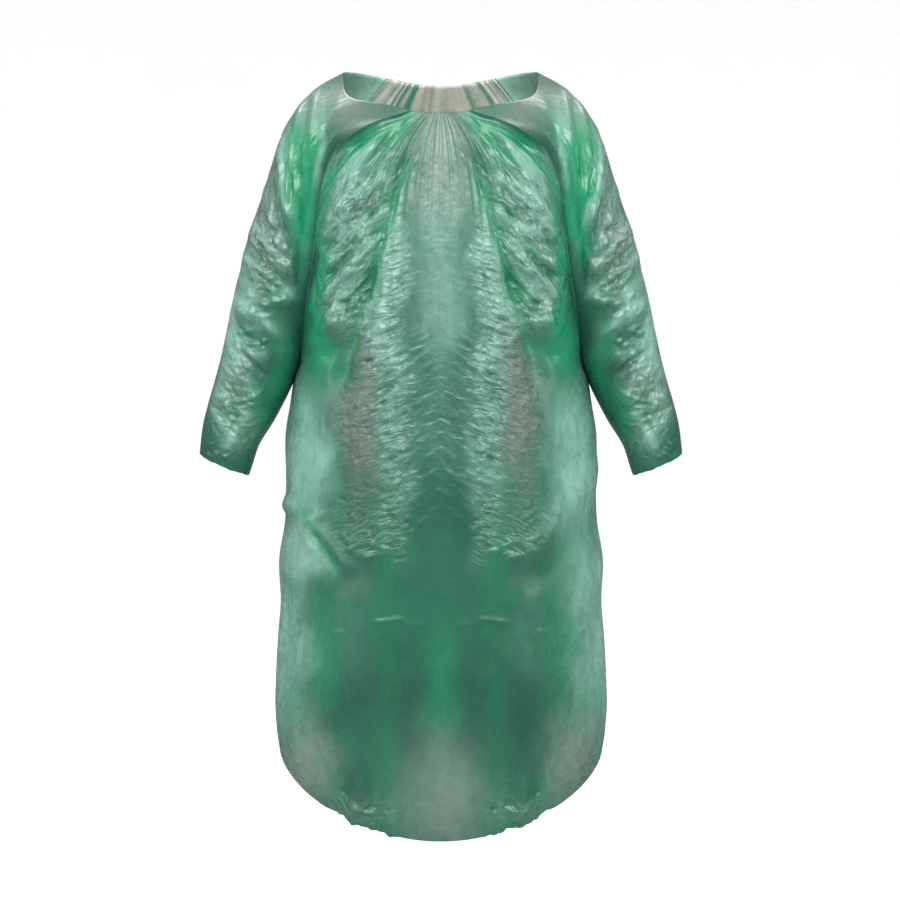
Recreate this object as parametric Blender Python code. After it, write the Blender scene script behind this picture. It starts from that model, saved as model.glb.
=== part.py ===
"""Sleeved apron of thin green film, filled out and hollow as if worn.

Metres, +Z up, the front faces -Y. The origin is the middle of the neck on the wearer's shoulder line.
Four pieces: a front and a back, each gathered into the neck, and two sleeves that run up to the neck.
A level says how far up a piece is: 0 at its open lower edge, 1 at the underarm and 2 at the neck.
"""

import math
from collections import namedtuple

import bpy
from mathutils import Vector

OBJECT_NAME = "sleeved_apron"

# Walls and seams, in metres; the last two are shares of a unit direction
WALL = 0.0014
SEAM_GAP = 0.0003
HALF_GAP = SEAM_GAP / 2
MITRE_LEAST = 0.3
VALLEY_LEAST = 0.3

# Mesh steps
BODY_ROWS = 14
SHOULDER_ROWS = 12
ARM_ROWS = 8
FRONT_COLUMNS = 56
BACK_COLUMNS = 36
SLEEVE_COLUMNS = 32
HEM_CLOSENESS = 1.25

# How flat a panel is in the middle, and how much of its side's rise its curve takes at the seam
FLAT_MIDDLE = 0.55
HEM_RISE = 1 / 3

# Gathers and pleats; heights in metres, starts, fades and runs as shares of a row or of a level
COLUMNS_IN_A_GATHER = 4
UNEVEN_SHARE = 0.3
UNEVEN_TURN = 1.9
STEEPEST_GATHER = 0.6
PLEATS_EACH_HALF = 5
PLEAT_START = 0.12
PLEAT_HEIGHT = 0.0030
PLEAT_TOP = 1.97
PLEAT_FOOT = 1.50
PLEAT_RUN = 0.22
SEAM_FADE = 0.09
GATHER_FADE = 0.24
CREASE_END = 0.25

# Sides are the wearer's: the right one lies at negative x
WEARERS_RIGHT, WEARERS_LEFT, BOTH = -1, 1, 0

# One panel's half, seen from its middle: its seam edge, the pull that its curve has there, its middle line
Panel = namedtuple("Panel", "level seam_x seam_y seam_z pull_x pull_y middle_y middle_z")
FRONT = (
    Panel(0.00, 0.2560, 0.000, -1.0500, 0.000, -0.100, -0.178, -1.1605),
    Panel(0.06, 0.2600, 0.000, -1.0220, 0.000, -0.101, -0.182, -1.1150),
    Panel(0.12, 0.2618, 0.000, -0.9842, 0.000, -0.101, -0.182, -1.0680),
    Panel(0.28, 0.2570, 0.000, -0.8878, 0.000, -0.100, -0.180, -0.9500),
    Panel(0.39, 0.2518, 0.000, -0.8238, 0.000, -0.099, -0.178, -0.8750),
    Panel(0.50, 0.2537, 0.000, -0.7601, 0.000, -0.098, -0.176, -0.8000),
    Panel(0.61, 0.2438, 0.000, -0.6967, 0.000, -0.097, -0.174, -0.7250),
    Panel(0.72, 0.2418, 0.000, -0.6335, 0.000, -0.096, -0.172, -0.6500),
    Panel(0.84, 0.2420, 0.000, -0.5628, 0.000, -0.095, -0.170, -0.5680),
    Panel(0.92, 0.2346, 0.000, -0.5158, 0.000, -0.094, -0.168, -0.5150),
    Panel(1.00, 0.2280, 0.000, -0.4760, 0.000, -0.092, -0.166, -0.4650),
    Panel(1.06, 0.2160, -0.022, -0.4459, 0.004, -0.075, -0.164, -0.4350),
    Panel(1.14, 0.2127, -0.045, -0.4137, 0.004, -0.060, -0.163, -0.4020),
    Panel(1.28, 0.2032, -0.065, -0.3504, 0.003, -0.045, -0.160, -0.3450),
    Panel(1.42, 0.1926, -0.080, -0.2897, 0.002, -0.038, -0.157, -0.2900),
    Panel(1.60, 0.1824, -0.090, -0.1985, -0.002, -0.030, -0.150, -0.2150),
    Panel(1.74, 0.1634, -0.100, -0.1350, -0.020, -0.020, -0.143, -0.1600),
    Panel(1.84, 0.1312, -0.115, -0.1047, -0.030, -0.008, -0.137, -0.1220),
    Panel(1.92, 0.0969, -0.120, -0.0859, -0.030, -0.004, -0.131, -0.0980),
    Panel(2.00, 0.0437, -0.115, -0.0681, -0.015, -0.003, -0.125, -0.0716),
)
BACK = (
    Panel(0.00, 0.2560, 0.000, -1.0500, 0.000, 0.094, 0.168, -1.1450),
    Panel(0.06, 0.2600, 0.000, -1.0220, 0.000, 0.095, 0.171, -1.1030),
    Panel(0.12, 0.2618, 0.000, -0.9842, 0.000, 0.095, 0.171, -1.0570),
    Panel(0.28, 0.2570, 0.000, -0.8878, 0.000, 0.094, 0.170, -0.9450),
    Panel(0.39, 0.2518, 0.000, -0.8238, 0.000, 0.093, 0.168, -0.8700),
    Panel(0.50, 0.2537, 0.000, -0.7601, 0.000, 0.092, 0.166, -0.7950),
    Panel(0.61, 0.2438, 0.000, -0.6967, 0.000, 0.090, 0.163, -0.7200),
    Panel(0.72, 0.2418, 0.000, -0.6335, 0.000, 0.088, 0.159, -0.6450),
    Panel(0.84, 0.2420, 0.000, -0.5628, 0.000, 0.086, 0.154, -0.5630),
    Panel(0.92, 0.2346, 0.000, -0.5158, 0.000, 0.084, 0.151, -0.5100),
    Panel(1.00, 0.2280, 0.000, -0.4760, 0.000, 0.082, 0.149, -0.4600),
    Panel(1.06, 0.2165, 0.022, -0.4460, 0.003, 0.066, 0.148, -0.4250),
    Panel(1.14, 0.2130, 0.042, -0.4120, 0.003, 0.052, 0.147, -0.3880),
    Panel(1.28, 0.2040, 0.060, -0.3480, 0.002, 0.042, 0.145, -0.3260),
    Panel(1.42, 0.1940, 0.072, -0.2840, 0.000, 0.034, 0.142, -0.2650),
    Panel(1.60, 0.1800, 0.082, -0.1950, -0.006, 0.026, 0.136, -0.1850),
    Panel(1.74, 0.1600, 0.088, -0.1250, -0.020, 0.018, 0.128, -0.1250),
    Panel(1.84, 0.1350, 0.092, -0.0800, -0.030, 0.010, 0.119, -0.0800),
    Panel(1.92, 0.1120, 0.094, -0.0400, -0.030, 0.006, 0.110, -0.0460),
    Panel(2.00, 0.0850, 0.088, -0.0070, -0.030, 0.006, 0.100, -0.0170),
)

# One sleeve, seen from its outer edge: that edge, the reach of its curve there to the front and the back,
# and the pull that the curve has at the two seams
Sleeve = namedtuple(
    "Sleeve",
    "level outer_x outer_y outer_z front_reach front_drop front_pull_x front_pull_y front_pull_z"
    " back_reach back_drop back_pull_x back_pull_y back_pull_z",
)
SLEEVE = (
    Sleeve(0.00, 0.3766, 0.00, -0.5895, 0.068, 0.0, 0.000, -0.068, 0.000, 0.066, 0.0, 0.000, 0.066, 0.000),
    Sleeve(0.30, 0.3712, 0.00, -0.5480, 0.073, 0.0, 0.000, -0.073, 0.000, 0.070, 0.0, 0.000, 0.070, 0.000),
    Sleeve(0.55, 0.3620, 0.00, -0.5120, 0.078, 0.0, 0.000, -0.078, 0.000, 0.074, 0.0, 0.000, 0.074, 0.000),
    Sleeve(0.80, 0.3515, 0.00, -0.4765, 0.081, 0.0, 0.000, -0.081, 0.000, 0.077, 0.0, 0.000, 0.077, 0.000),
    Sleeve(1.00, 0.3415, 0.00, -0.4400, 0.084, 0.0, 0.000, -0.084, 0.000, 0.080, 0.0, 0.000, 0.080, 0.000),
    Sleeve(1.06, 0.3370, 0.00, -0.4200, 0.084, 0.0, 0.018, -0.068, -0.004, 0.080, 0.0, 0.018, 0.064, -0.004),
    Sleeve(1.14, 0.3289, 0.00, -0.3820, 0.082, 0.0, 0.030, -0.050, -0.004, 0.078, 0.0, 0.030, 0.048, -0.004),
    Sleeve(1.28, 0.3140, 0.00, -0.3180, 0.076, 0.0, 0.036, -0.036, 0.002, 0.074, 0.0, 0.036, 0.034, 0.002),
    Sleeve(1.42, 0.2985, 0.00, -0.2580, 0.071, 0.0, 0.038, -0.026, 0.006, 0.070, 0.0, 0.038, 0.024, 0.006),
    Sleeve(1.60, 0.2730, 0.00, -0.1860, 0.065, 0.0, 0.040, -0.016, 0.006, 0.064, 0.0, 0.040, 0.016, 0.006),
    Sleeve(1.74, 0.2490, 0.00, -0.1120, 0.062, 0.006, 0.042, -0.006, 0.012, 0.060, 0.002, 0.040, 0.010, 0.012),
    Sleeve(1.84, 0.2250, 0.00, -0.0640, 0.058, 0.016, 0.048, 0.006, 0.012, 0.054, 0.006, 0.036, 0.006, 0.012),
    Sleeve(1.92, 0.1900, 0.005, -0.0265, 0.056, 0.034, 0.056, 0.012, 0.014, 0.048, 0.006, 0.032, 0.002, 0.010),
    Sleeve(2.00, 0.1500, 0.010, -0.0040, 0.055, 0.056, 0.086, 0.015, 0.023, 0.044, -0.007, 0.034, -0.004, 0.007),
)
Wrist = namedtuple("Wrist", "level inner_x inner_z")
UNDERSIDE = (
    Wrist(0.00, 0.3003, -0.6146),
    Wrist(0.30, 0.2830, -0.5750),
    Wrist(0.55, 0.2605, -0.5393),
    Wrist(0.80, 0.2410, -0.5030),
    Wrist(1.00, 0.2280, -0.4760),
)

# How high the gathers stand at each level
Gather = namedtuple("Gather", "level height")
FRONT_GATHERS = (
    Gather(1.00, 0.0),
    Gather(1.30, 0.0006),
    Gather(1.60, 0.0018),
    Gather(1.84, 0.0030),
    Gather(1.92, 0.0028),
    Gather(2.00, 0.0018),
)
BACK_GATHERS = (
    Gather(1.00, 0.0),
    Gather(1.40, 0.0008),
    Gather(1.74, 0.0030),
    Gather(1.92, 0.0032),
    Gather(2.00, 0.0024),
)

# The largest creases as seen from the front, for a side at positive x. A trough has a negative height.
Crease = namedtuple("Crease", "top_x top_z foot_x foot_z width height side")
FRONT_CREASES = (
    # long troughs from the neck to the hip
    Crease(0.064, -0.095, 0.107, -0.183, 0.014, -0.0070, BOTH),
    Crease(0.056, -0.170, 0.111, -0.327, 0.015, -0.0065, BOTH),
    Crease(0.111, -0.327, 0.147, -0.450, 0.016, -0.0085, BOTH),
    Crease(0.147, -0.450, 0.158, -0.647, 0.022, -0.0080, BOTH),
    # bunched cloth at the side of the chest, ending in a lip
    Crease(0.112, -0.150, 0.162, -0.235, 0.011, 0.0055, BOTH),
    Crease(0.120, -0.215, 0.166, -0.290, 0.011, 0.0065, BOTH),
    Crease(0.126, -0.280, 0.168, -0.345, 0.012, 0.0070, BOTH),
    Crease(0.126, -0.362, 0.170, -0.392, 0.013, 0.0090, BOTH),
    Crease(0.130, -0.412, 0.172, -0.430, 0.014, -0.0060, BOTH),
    # folds at the hip
    Crease(0.236, -0.668, 0.198, -0.683, 0.016, 0.0120, WEARERS_RIGHT),
    Crease(0.198, -0.683, 0.143, -0.744, 0.016, 0.0100, WEARERS_RIGHT),
    Crease(0.228, -0.722, 0.172, -0.765, 0.020, -0.0095, WEARERS_RIGHT),
    Crease(0.230, -0.620, 0.150, -0.720, 0.020, 0.0055, WEARERS_LEFT),
    Crease(0.225, -0.700, 0.140, -0.770, 0.020, -0.0045, WEARERS_LEFT),
    # soft upright folds of the skirt
    Crease(0.083, -0.700, 0.084, -1.120, 0.026, -0.0090, BOTH),
    Crease(0.130, -0.760, 0.126, -1.060, 0.026, 0.0060, BOTH),
    Crease(0.178, -0.790, 0.170, -1.030, 0.024, -0.0055, BOTH),
    Crease(0.226, -0.960, 0.152, -1.104, 0.018, -0.0070, BOTH),
    Crease(0.205, -0.900, 0.105, -1.125, 0.020, 0.0060, BOTH),
    Crease(0.000, -0.300, 0.000, -0.720, 0.032, 0.0050, BOTH),
    # crumpled corners of the hem
    Crease(0.072, -1.105, 0.076, -1.155, 0.009, 0.0050, BOTH),
    Crease(0.098, -1.095, 0.104, -1.150, 0.009, -0.0050, BOTH),
    Crease(0.122, -1.085, 0.132, -1.140, 0.010, 0.0055, BOTH),
    Crease(0.150, -1.075, 0.162, -1.130, 0.010, -0.0045, BOTH),
)
BACK_CREASES = (
    Crease(0.090, -0.080, 0.135, -0.260, 0.018, -0.0060, BOTH),
    Crease(0.050, -0.180, 0.110, -0.480, 0.022, -0.0070, BOTH),
    Crease(0.120, -0.260, 0.172, -0.345, 0.016, 0.0065, BOTH),
    Crease(0.122, -0.350, 0.176, -0.410, 0.016, 0.0060, WEARERS_RIGHT),
    Crease(0.110, -0.460, 0.150, -0.700, 0.026, -0.0075, BOTH),
    Crease(0.228, -0.640, 0.140, -0.740, 0.020, 0.0080, WEARERS_LEFT),
    Crease(0.215, -0.600, 0.130, -0.670, 0.022, 0.0060, WEARERS_RIGHT),
    Crease(0.070, -0.720, 0.080, -1.100, 0.028, -0.0085, BOTH),
    Crease(0.125, -0.740, 0.130, -1.040, 0.028, 0.0060, BOTH),
    Crease(0.180, -0.780, 0.170, -1.020, 0.026, -0.0055, BOTH),
    Crease(0.215, -0.930, 0.130, -1.090, 0.022, -0.0065, BOTH),
    Crease(0.000, -0.350, 0.000, -0.800, 0.034, 0.0050, BOTH),
)
SLEEVE_CREASES = (
    Crease(0.184, -0.110, 0.208, -0.290, 0.012, -0.0080, BOTH),
    Crease(0.282, -0.255, 0.236, -0.300, 0.012, 0.0055, BOTH),
    Crease(0.296, -0.310, 0.244, -0.330, 0.012, -0.0065, BOTH),
    Crease(0.300, -0.368, 0.240, -0.352, 0.012, 0.0065, BOTH),
    Crease(0.312, -0.400, 0.252, -0.420, 0.014, -0.0055, BOTH),
    Crease(0.322, -0.470, 0.286, -0.500, 0.012, 0.0050, BOTH),
    Crease(0.336, -0.520, 0.300, -0.555, 0.013, -0.0050, BOTH),
)

# Materials: base colour, roughness
FILM_COLOURS = {
    "front_panel": ((0.070, 0.300, 0.165), 0.32),
    "back_panel": ((0.060, 0.270, 0.150), 0.34),
    "sleeve_left": ((0.085, 0.330, 0.185), 0.30),
    "sleeve_right": ((0.085, 0.330, 0.185), 0.30),
}


# Tables and curves
def at_level(rows, level):
    """A table's row at any level, on a smooth curve through its rows."""
    last = len(rows) - 1
    i = max(k for k in range(last) if k == 0 or rows[k].level <= level)
    before, low, high, after = rows[max(i - 1, 0)], rows[i], rows[i + 1], rows[min(i + 2, last)]
    span = high.level - low.level
    t = (level - low.level) / span
    values = []
    for a, b, c, d in zip(before, low, high, after):
        rise_b = (c - a) / (high.level - before.level) * span
        rise_c = (d - b) / (after.level - low.level) * span
        middle = t * t * (3 - 2 * t)
        values.append(b + (c - b) * middle + rise_b * t * (1 - t) ** 2 - rise_c * t * t * (1 - t))
    return type(low)(*values)


def bezier(p, q, r, s, t):
    """The point at t on a cubic curve with the four given control points."""
    u = 1 - t
    return p * u**3 + q * (3 * u * u * t) + r * (3 * u * t * t) + s * t**3


def ease(low, high, value):
    """0 below low, 1 above high, smooth in between."""
    t = min(max((value - low) / (high - low), 0), 1)
    return t * t * (3 - 2 * t)


# Base forms, before gathers and creases
def panel_point(rows, level, share):
    """A point of the front or back; share runs from -1 at the left seam over 0 to 1 at the right seam."""
    row = at_level(rows, level)
    side = math.copysign(1, share)
    middle = Vector((0, row.middle_y, row.middle_z))
    seam = Vector((row.seam_x * side, row.seam_y, row.seam_z))
    out = Vector((row.seam_x * FLAT_MIDDLE * side, row.middle_y, row.middle_z))
    drop = (row.middle_z - row.seam_z) * HEM_RISE
    pull = seam + Vector((row.pull_x * side, row.pull_y, drop))
    return bezier(middle, out, pull, seam, abs(share))


def underside_point(level, seam_rows, side):
    """The inner end of a sleeve's half row: on the underside line, and on a seam of the body above that."""
    if level <= 1:
        row = at_level(UNDERSIDE, level)
        return Vector((row.inner_x * side, 0, row.inner_z))
    row = at_level(seam_rows, level)
    return Vector((row.seam_x * side, row.seam_y, row.seam_z))


def sleeve_point(level, share, side):
    """A point of a sleeve; share runs from 0 at the front seam over 0.5 on the outer edge to 1 at the back."""
    row = at_level(SLEEVE, level)
    outer = Vector((row.outer_x * side, row.outer_y, row.outer_z))
    if share <= 0.5:
        inner = underside_point(level, FRONT, side)
        reach = outer + Vector((0, -row.front_reach, -row.front_drop))
        pull = inner + Vector((row.front_pull_x * side, row.front_pull_y, row.front_pull_z))
        return bezier(inner, pull, reach, outer, share * 2)
    inner = underside_point(level, BACK, side)
    reach = outer + Vector((0, row.back_reach, -row.back_drop))
    pull = inner + Vector((row.back_pull_x * side, row.back_pull_y, row.back_pull_z))
    return bezier(inner, pull, reach, outer, (1 - share) * 2)


# Heights that gathers, pleats and creases add
def crease_height(creases, x, z):
    """The height of all creases at a place seen from the front."""
    total = 0
    for c in creases:
        if c.side and x * c.side < 0:
            continue
        run = Vector((c.foot_x - c.top_x, c.foot_z - c.top_z))
        place = Vector((abs(x) - c.top_x, z - c.top_z))
        along = place.dot(run) / run.length_squared
        across = abs(place.x * run.y - place.y * run.x) / run.length
        past = max(-along, along - 1, 0) / CREASE_END
        total += c.height * math.exp(-((across / c.width) ** 2) - past**2)
    return total


def gather_height(rows, level, column):
    """The height of a panel's gathers at a column: each gather is one wave, and no two are the same."""
    if level <= rows[0].level:
        return 0
    wave = math.cos(2 * math.pi * column / COLUMNS_IN_A_GATHER)
    uneven = 1 - UNEVEN_SHARE + UNEVEN_SHARE * math.sin(UNEVEN_TURN * (column // COLUMNS_IN_A_GATHER))
    return at_level(rows, level).height * wave * uneven


def column_spacing(grid, r, c):
    """How far apart the columns lie at a point, measured square to them."""
    above, below = grid[min(r + 1, len(grid) - 1)][c], grid[max(r - 1, 0)][c]
    right, left = grid[r][min(c + 1, len(grid[r]) - 1)], grid[r][max(c - 1, 0)]
    return (right - left).cross((above - below).normalized()).length / 2


def pleat_height(level, column):
    """The height of a sleeve's shoulder pleats: a pleat is one raised column and one sunk one."""
    half = SLEEVE_COLUMNS // 2
    inward = min(column, SLEEVE_COLUMNS - column)
    first = round(PLEAT_START * SLEEVE_COLUMNS)
    if not first <= inward < min(first + 2 * PLEATS_EACH_HALF, half):
        return 0
    fade = ease(PLEAT_FOOT, PLEAT_FOOT + PLEAT_RUN, level)
    fade *= 1 - ease(PLEAT_TOP - PLEAT_RUN, PLEAT_TOP, level)
    return PLEAT_HEIGHT * fade * (-1) ** inward


# Cloth grids
class Cloth:
    """One piece of cloth: its points by row and column, its faces, and the points that lie on seams."""

    def __init__(self, name):
        self.name = name
        self.points = []
        self.heights = []
        self.faces = []
        self.seams = {}


def build_panel(name, rows, creases, gathers, columns, facing):
    """The front or the back as one grid of points from hem to neck."""
    cloth = Cloth(name)
    levels = [(r / BODY_ROWS) ** HEM_CLOSENESS for r in range(BODY_ROWS)]
    levels += [1 + r / SHOULDER_ROWS for r in range(SHOULDER_ROWS + 1)]
    shares = [2 * column / columns - 1 for column in range(columns + 1)]
    grid = [[panel_point(rows, level, share) for share in shares] for level in levels]
    for r, level in enumerate(levels):
        start = len(cloth.points)
        for column, share in enumerate(shares):
            point = grid[r][column]
            from_seam = 1 - abs(share)
            most = column_spacing(grid, r, column) * STEEPEST_GATHER
            gather = gather_height(gathers, level, column) * ease(0, GATHER_FADE, from_seam)
            crease = crease_height(creases, point.x, point.z) * ease(0, SEAM_FADE, from_seam)
            cloth.points.append(point)
            cloth.heights.append(crease + min(max(gather, -most), most))
        cloth.seams[start] = [start + 1]
        cloth.seams[start + columns] = [start + columns - 1]
    width = columns + 1
    for r in range(len(levels) - 1):
        for c in range(columns):
            a = r * width + c
            face = (a, a + 1, a + 1 + width, a + width)
            cloth.faces.append(face if facing < 0 else face[::-1])
    return cloth


def build_sleeve(name, side):
    """A sleeve: closed rings from the cuff to the underarm, and from there open rows up to the neck."""
    cloth = Cloth(name)
    levels = [r / ARM_ROWS for r in range(ARM_ROWS)]
    levels += [1 + r / SHOULDER_ROWS for r in range(SHOULDER_ROWS + 1)]
    index = []
    for level in levels:
        closed = level <= 1
        places = []
        for column in range(SLEEVE_COLUMNS + 1):
            if closed and column == SLEEVE_COLUMNS:
                places.append(places[0])
                continue
            share = column / SLEEVE_COLUMNS
            point = sleeve_point(level, share, side)
            fade = ease(0, SEAM_FADE, min(share, 1 - share)) if level >= 1 else 1
            height = crease_height(SLEEVE_CREASES, point.x, point.z) + pleat_height(level, column)
            places.append(len(cloth.points))
            cloth.points.append(point)
            cloth.heights.append(height * fade)
        if level == 1:
            cloth.seams[places[0]] = [places[1], places[-2]]
        if level > 1:
            cloth.seams[places[0]] = [places[1]]
            cloth.seams[places[-1]] = [places[-2]]
        index.append(places)
    for low, high in zip(index, index[1:]):
        for c in range(SLEEVE_COLUMNS):
            face = (low[c], low[c + 1], high[c + 1], high[c])
            cloth.faces.append(face if side > 0 else face[::-1])
    return cloth


# Walls
def place_key(point):
    """One name for a place that two pieces share at a seam."""
    return tuple(round(value, 5) for value in point)


def own_normals(cloth):
    """The outward direction at each point of a piece, from its own faces alone."""
    sums = [Vector((0, 0, 0)) for _ in cloth.points]
    for face in cloth.faces:
        a, b, c, d = (cloth.points[i] for i in face)
        across = (c - a).cross(d - b)
        for i in face:
            sums[i] += across
    return [total.normalized() for total in sums]


def raise_folds(cloth):
    """Moves each point out or in by the height of the folds there."""
    cloth.points = [p + n * h for p, n, h in zip(cloth.points, own_normals(cloth), cloth.heights)]


def seam_meetings(cloths, normals):
    """For each place on a seam, each piece there with its direction into itself and its normal."""
    meetings = {}
    for cloth, outward in zip(cloths, normals):
        for i, neighbours in cloth.seams.items():
            inward = sum((cloth.points[n] - cloth.points[i] for n in neighbours), Vector((0, 0, 0)))
            meetings.setdefault(place_key(cloth.points[i]), {})[cloth.name] = (inward.normalized(), outward[i])
    return meetings


def part_at_seams(cloths, normals):
    """Parts the pieces along each seam by the seam gap, and mitres their walls where they meet nearly flat.

    In a deep valley each wall keeps its own direction, because the two walls lie on its far sides.
    """
    meetings = seam_meetings(cloths, normals)
    for cloth, outward in zip(cloths, normals):
        moved = list(cloth.points)
        for i, neighbours in cloth.seams.items():
            met = meetings[place_key(cloth.points[i])]
            inward, own = met[cloth.name]
            others = [met[name] for name in met if name != cloth.name]
            away = inward - sum((run for run, _ in others), Vector((0, 0, 0))) / len(others)
            moved[i] = cloth.points[i] + away.normalized() * HALF_GAP * len(neighbours)
            flat = [n for _, n in others if own.dot(n) > MITRE_LEAST and inward.dot(n) < VALLEY_LEAST]
            outward[i] = sum(flat, own).normalized()
            for n in neighbours:
                outward[n] = (outward[n] + outward[i]).normalized()
        cloth.points = moved


def wall_object(cloth, normals, collection):
    """A closed thin wall on a cloth's points, with its thickness on the inner side."""
    count = len(cloth.points)
    inner = [p - n * WALL for p, n in zip(cloth.points, normals)]
    faces = list(cloth.faces)
    faces += [tuple(i + count for i in reversed(face)) for face in cloth.faces]
    edges = {(a, b) for face in cloth.faces for a, b in zip(face, face[1:] + face[:1])}
    faces += [(b, a, a + count, b + count) for a, b in sorted(edges) if (b, a) not in edges]
    mesh = bpy.data.meshes.new(cloth.name)
    mesh.from_pydata(cloth.points + inner, [], faces)
    mesh.validate()
    mesh.shade_smooth()
    piece = bpy.data.objects.new(cloth.name, mesh)
    piece.data.materials.append(film_material(cloth.name))
    collection.objects.link(piece)
    return piece


def film_material(name):
    """The piece's own green film: a shiny plastic skin."""
    colour, roughness = FILM_COLOURS[name]
    material = bpy.data.materials.new(name + "_film")
    material.use_nodes = True
    film = material.node_tree.nodes["Principled BSDF"]
    film.inputs["Base Color"].default_value = (*colour, 1)
    film.inputs["Roughness"].default_value = roughness
    film.inputs["Metallic"].default_value = 0
    return material


def build():
    """Builds the whole garment in its own collection."""
    for old in list(bpy.data.objects):
        bpy.data.objects.remove(old, do_unlink=True)
    collection = bpy.data.collections.new(OBJECT_NAME)
    bpy.context.scene.collection.children.link(collection)
    cloths = [
        build_panel("front_panel", FRONT, FRONT_CREASES, FRONT_GATHERS, FRONT_COLUMNS, -1),
        build_panel("back_panel", BACK, BACK_CREASES, BACK_GATHERS, BACK_COLUMNS, 1),
        build_sleeve("sleeve_right", WEARERS_RIGHT),
        build_sleeve("sleeve_left", WEARERS_LEFT),
    ]
    for cloth in cloths:
        raise_folds(cloth)
    normals = [own_normals(cloth) for cloth in cloths]
    part_at_seams(cloths, normals)
    for cloth, outward in zip(cloths, normals):
        wall_object(cloth, outward, collection)


build()
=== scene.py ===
"""Looks of a sleeved apron of thin green film, built round its packed solids.

Metres, +Z up, the front faces -Y. Each piece is a fine thin shell on its solid's form: it has the solid's
large folds, sharper gathers and pleats, and the small creases and facets of handled film on all sides.
"""

import math
from collections import namedtuple

import bpy
import numpy as np
from bpy.props import FloatProperty, FloatVectorProperty, IntProperty, PointerProperty
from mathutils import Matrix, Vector


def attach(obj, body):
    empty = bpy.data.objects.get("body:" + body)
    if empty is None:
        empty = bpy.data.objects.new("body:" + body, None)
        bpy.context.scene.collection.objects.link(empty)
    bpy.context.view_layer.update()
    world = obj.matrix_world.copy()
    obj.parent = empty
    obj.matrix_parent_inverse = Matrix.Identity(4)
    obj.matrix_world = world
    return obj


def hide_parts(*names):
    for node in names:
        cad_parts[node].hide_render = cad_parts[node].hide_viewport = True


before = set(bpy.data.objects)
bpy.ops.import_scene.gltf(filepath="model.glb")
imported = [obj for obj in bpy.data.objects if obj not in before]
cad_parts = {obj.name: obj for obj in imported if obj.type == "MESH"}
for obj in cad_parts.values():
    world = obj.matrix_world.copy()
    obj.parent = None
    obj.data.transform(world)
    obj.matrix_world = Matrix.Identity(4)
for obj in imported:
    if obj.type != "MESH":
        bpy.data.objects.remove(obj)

bl_info = {
    "name": "Sleeved film apron",
    "version": (1, 0, 0),
    "blender": (4, 5, 0),
    "location": "View3D > Sidebar > Apron",
    "description": "Builds the crinkled film, the seam welds and the studio of a sleeved apron",
    "category": "Object",
}

BODY = "root"
WEARERS_RIGHT, WEARERS_LEFT, BOTH = -1, 1, 0

# The photograph's view: a square frame, with the camera at chest height and tilted a little down
CAMERA_PLACE = (0.0141, -3.2, -0.25)
CAMERA_TILT = 84.0
CAMERA_LENS = 82.37
SENSOR_WIDTH = 36.0

# How the panels curve, and how far folds fade towards a seam, as on the solids
FLAT_MIDDLE = 0.55
HEM_RISE = 1 / 3
SEAM_FADE = 0.09
GATHER_FADE = 0.24
CREASE_END = 0.25
UNDERARM = 1.0

# Rows of a fine grid: how many lie between the level before and this one; an even number each
Stretch = namedtuple("Stretch", "level rows")
FRONT_STRETCHES = (
    Stretch(0.06, 18),
    Stretch(0.40, 30),
    Stretch(0.50, 26),
    Stretch(1.00, 108),
    Stretch(2.00, 144),
)
BACK_STRETCHES = (Stretch(0.06, 14), Stretch(0.50, 40), Stretch(1.0, 90), Stretch(2.0, 126))
SLEEVE_STRETCHES = (Stretch(1.0, 82), Stretch(2.0, 174))
FRONT_COLUMNS = 240
BACK_COLUMNS = 200
SLEEVE_COLUMNS = 200

# How high the gathers stand at each level; the fine ones lie between them
Gather = namedtuple("Gather", "level height fine")
FRONT_GATHERS = (
    Gather(1.00, 0.0, 0.0),
    Gather(1.30, 0.0006, 0.0004),
    Gather(1.60, 0.0014, 0.0015),
    Gather(1.84, 0.0019, 0.0014),
    Gather(1.92, 0.0018, 0.0010),
    Gather(2.00, 0.0012, 0.0004),
)
BACK_GATHERS = (
    Gather(1.00, 0.0, 0.0),
    Gather(1.40, 0.0008, 0.0005),
    Gather(1.74, 0.0030, 0.0012),
    Gather(1.92, 0.0032, 0.0012),
    Gather(2.00, 0.0024, 0.0008),
)

# Gathers: how many lie across, how uneven and how steep they are, and where they ebb from the middle
FRONT_GATHER_COUNT = 14
BACK_GATHER_COUNT = 9
FINE_TO_A_GATHER = 3.3
FINE_DRIFT = 0.35
FINE_DRIFT_TURN = 1.7
UNEVEN_SHARE = 0.3
UNEVEN_TURN = 1.9
STEEPEST_GATHER = 1.1
GATHER_EBB = 0.88
GATHER_EBB_FROM, GATHER_EBB_TO = 0.25, 0.55

# Shoulder pleats of a sleeve: the share of its width where they start, and the levels where they end
PLEATS_ACROSS = 16
PLEAT_START = 0.12
PLEAT_SOFTNESS = 0.02
PLEAT_HEIGHT = 0.0004
PLEAT_LEVELS = (1.50, 1.72, 1.75, 1.97)

# Narrow uneven pleats of the back neck, with a painted highlight on the raised ones and painted valley
# green on the sunk ones, and painted light on the inner side of the neck
NECK_PLEAT_COLUMNS = 4
NECK_PLEAT_WIDTHS = (0.5, 1.5)
NECK_PLEAT_SPREAD = 0.5
NECK_PLEAT_HEIGHT = 0.0018
NECK_PLEAT_PAINTED_LIGHT = 0.9
NECK_PLEAT_GREEN = (0.2, 0.8)
NECK_PLEATS_FROM, NECK_PLEATS_FULL = 1.74, 1.92
# Painted light on the inner side near the neck, which lies in shade
NECK_PAINTED_LIGHT = {"milky": 1.0, "pale": 0.55}
NECK_LOW, NECK_HIGH = -0.10, -0.05

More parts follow.
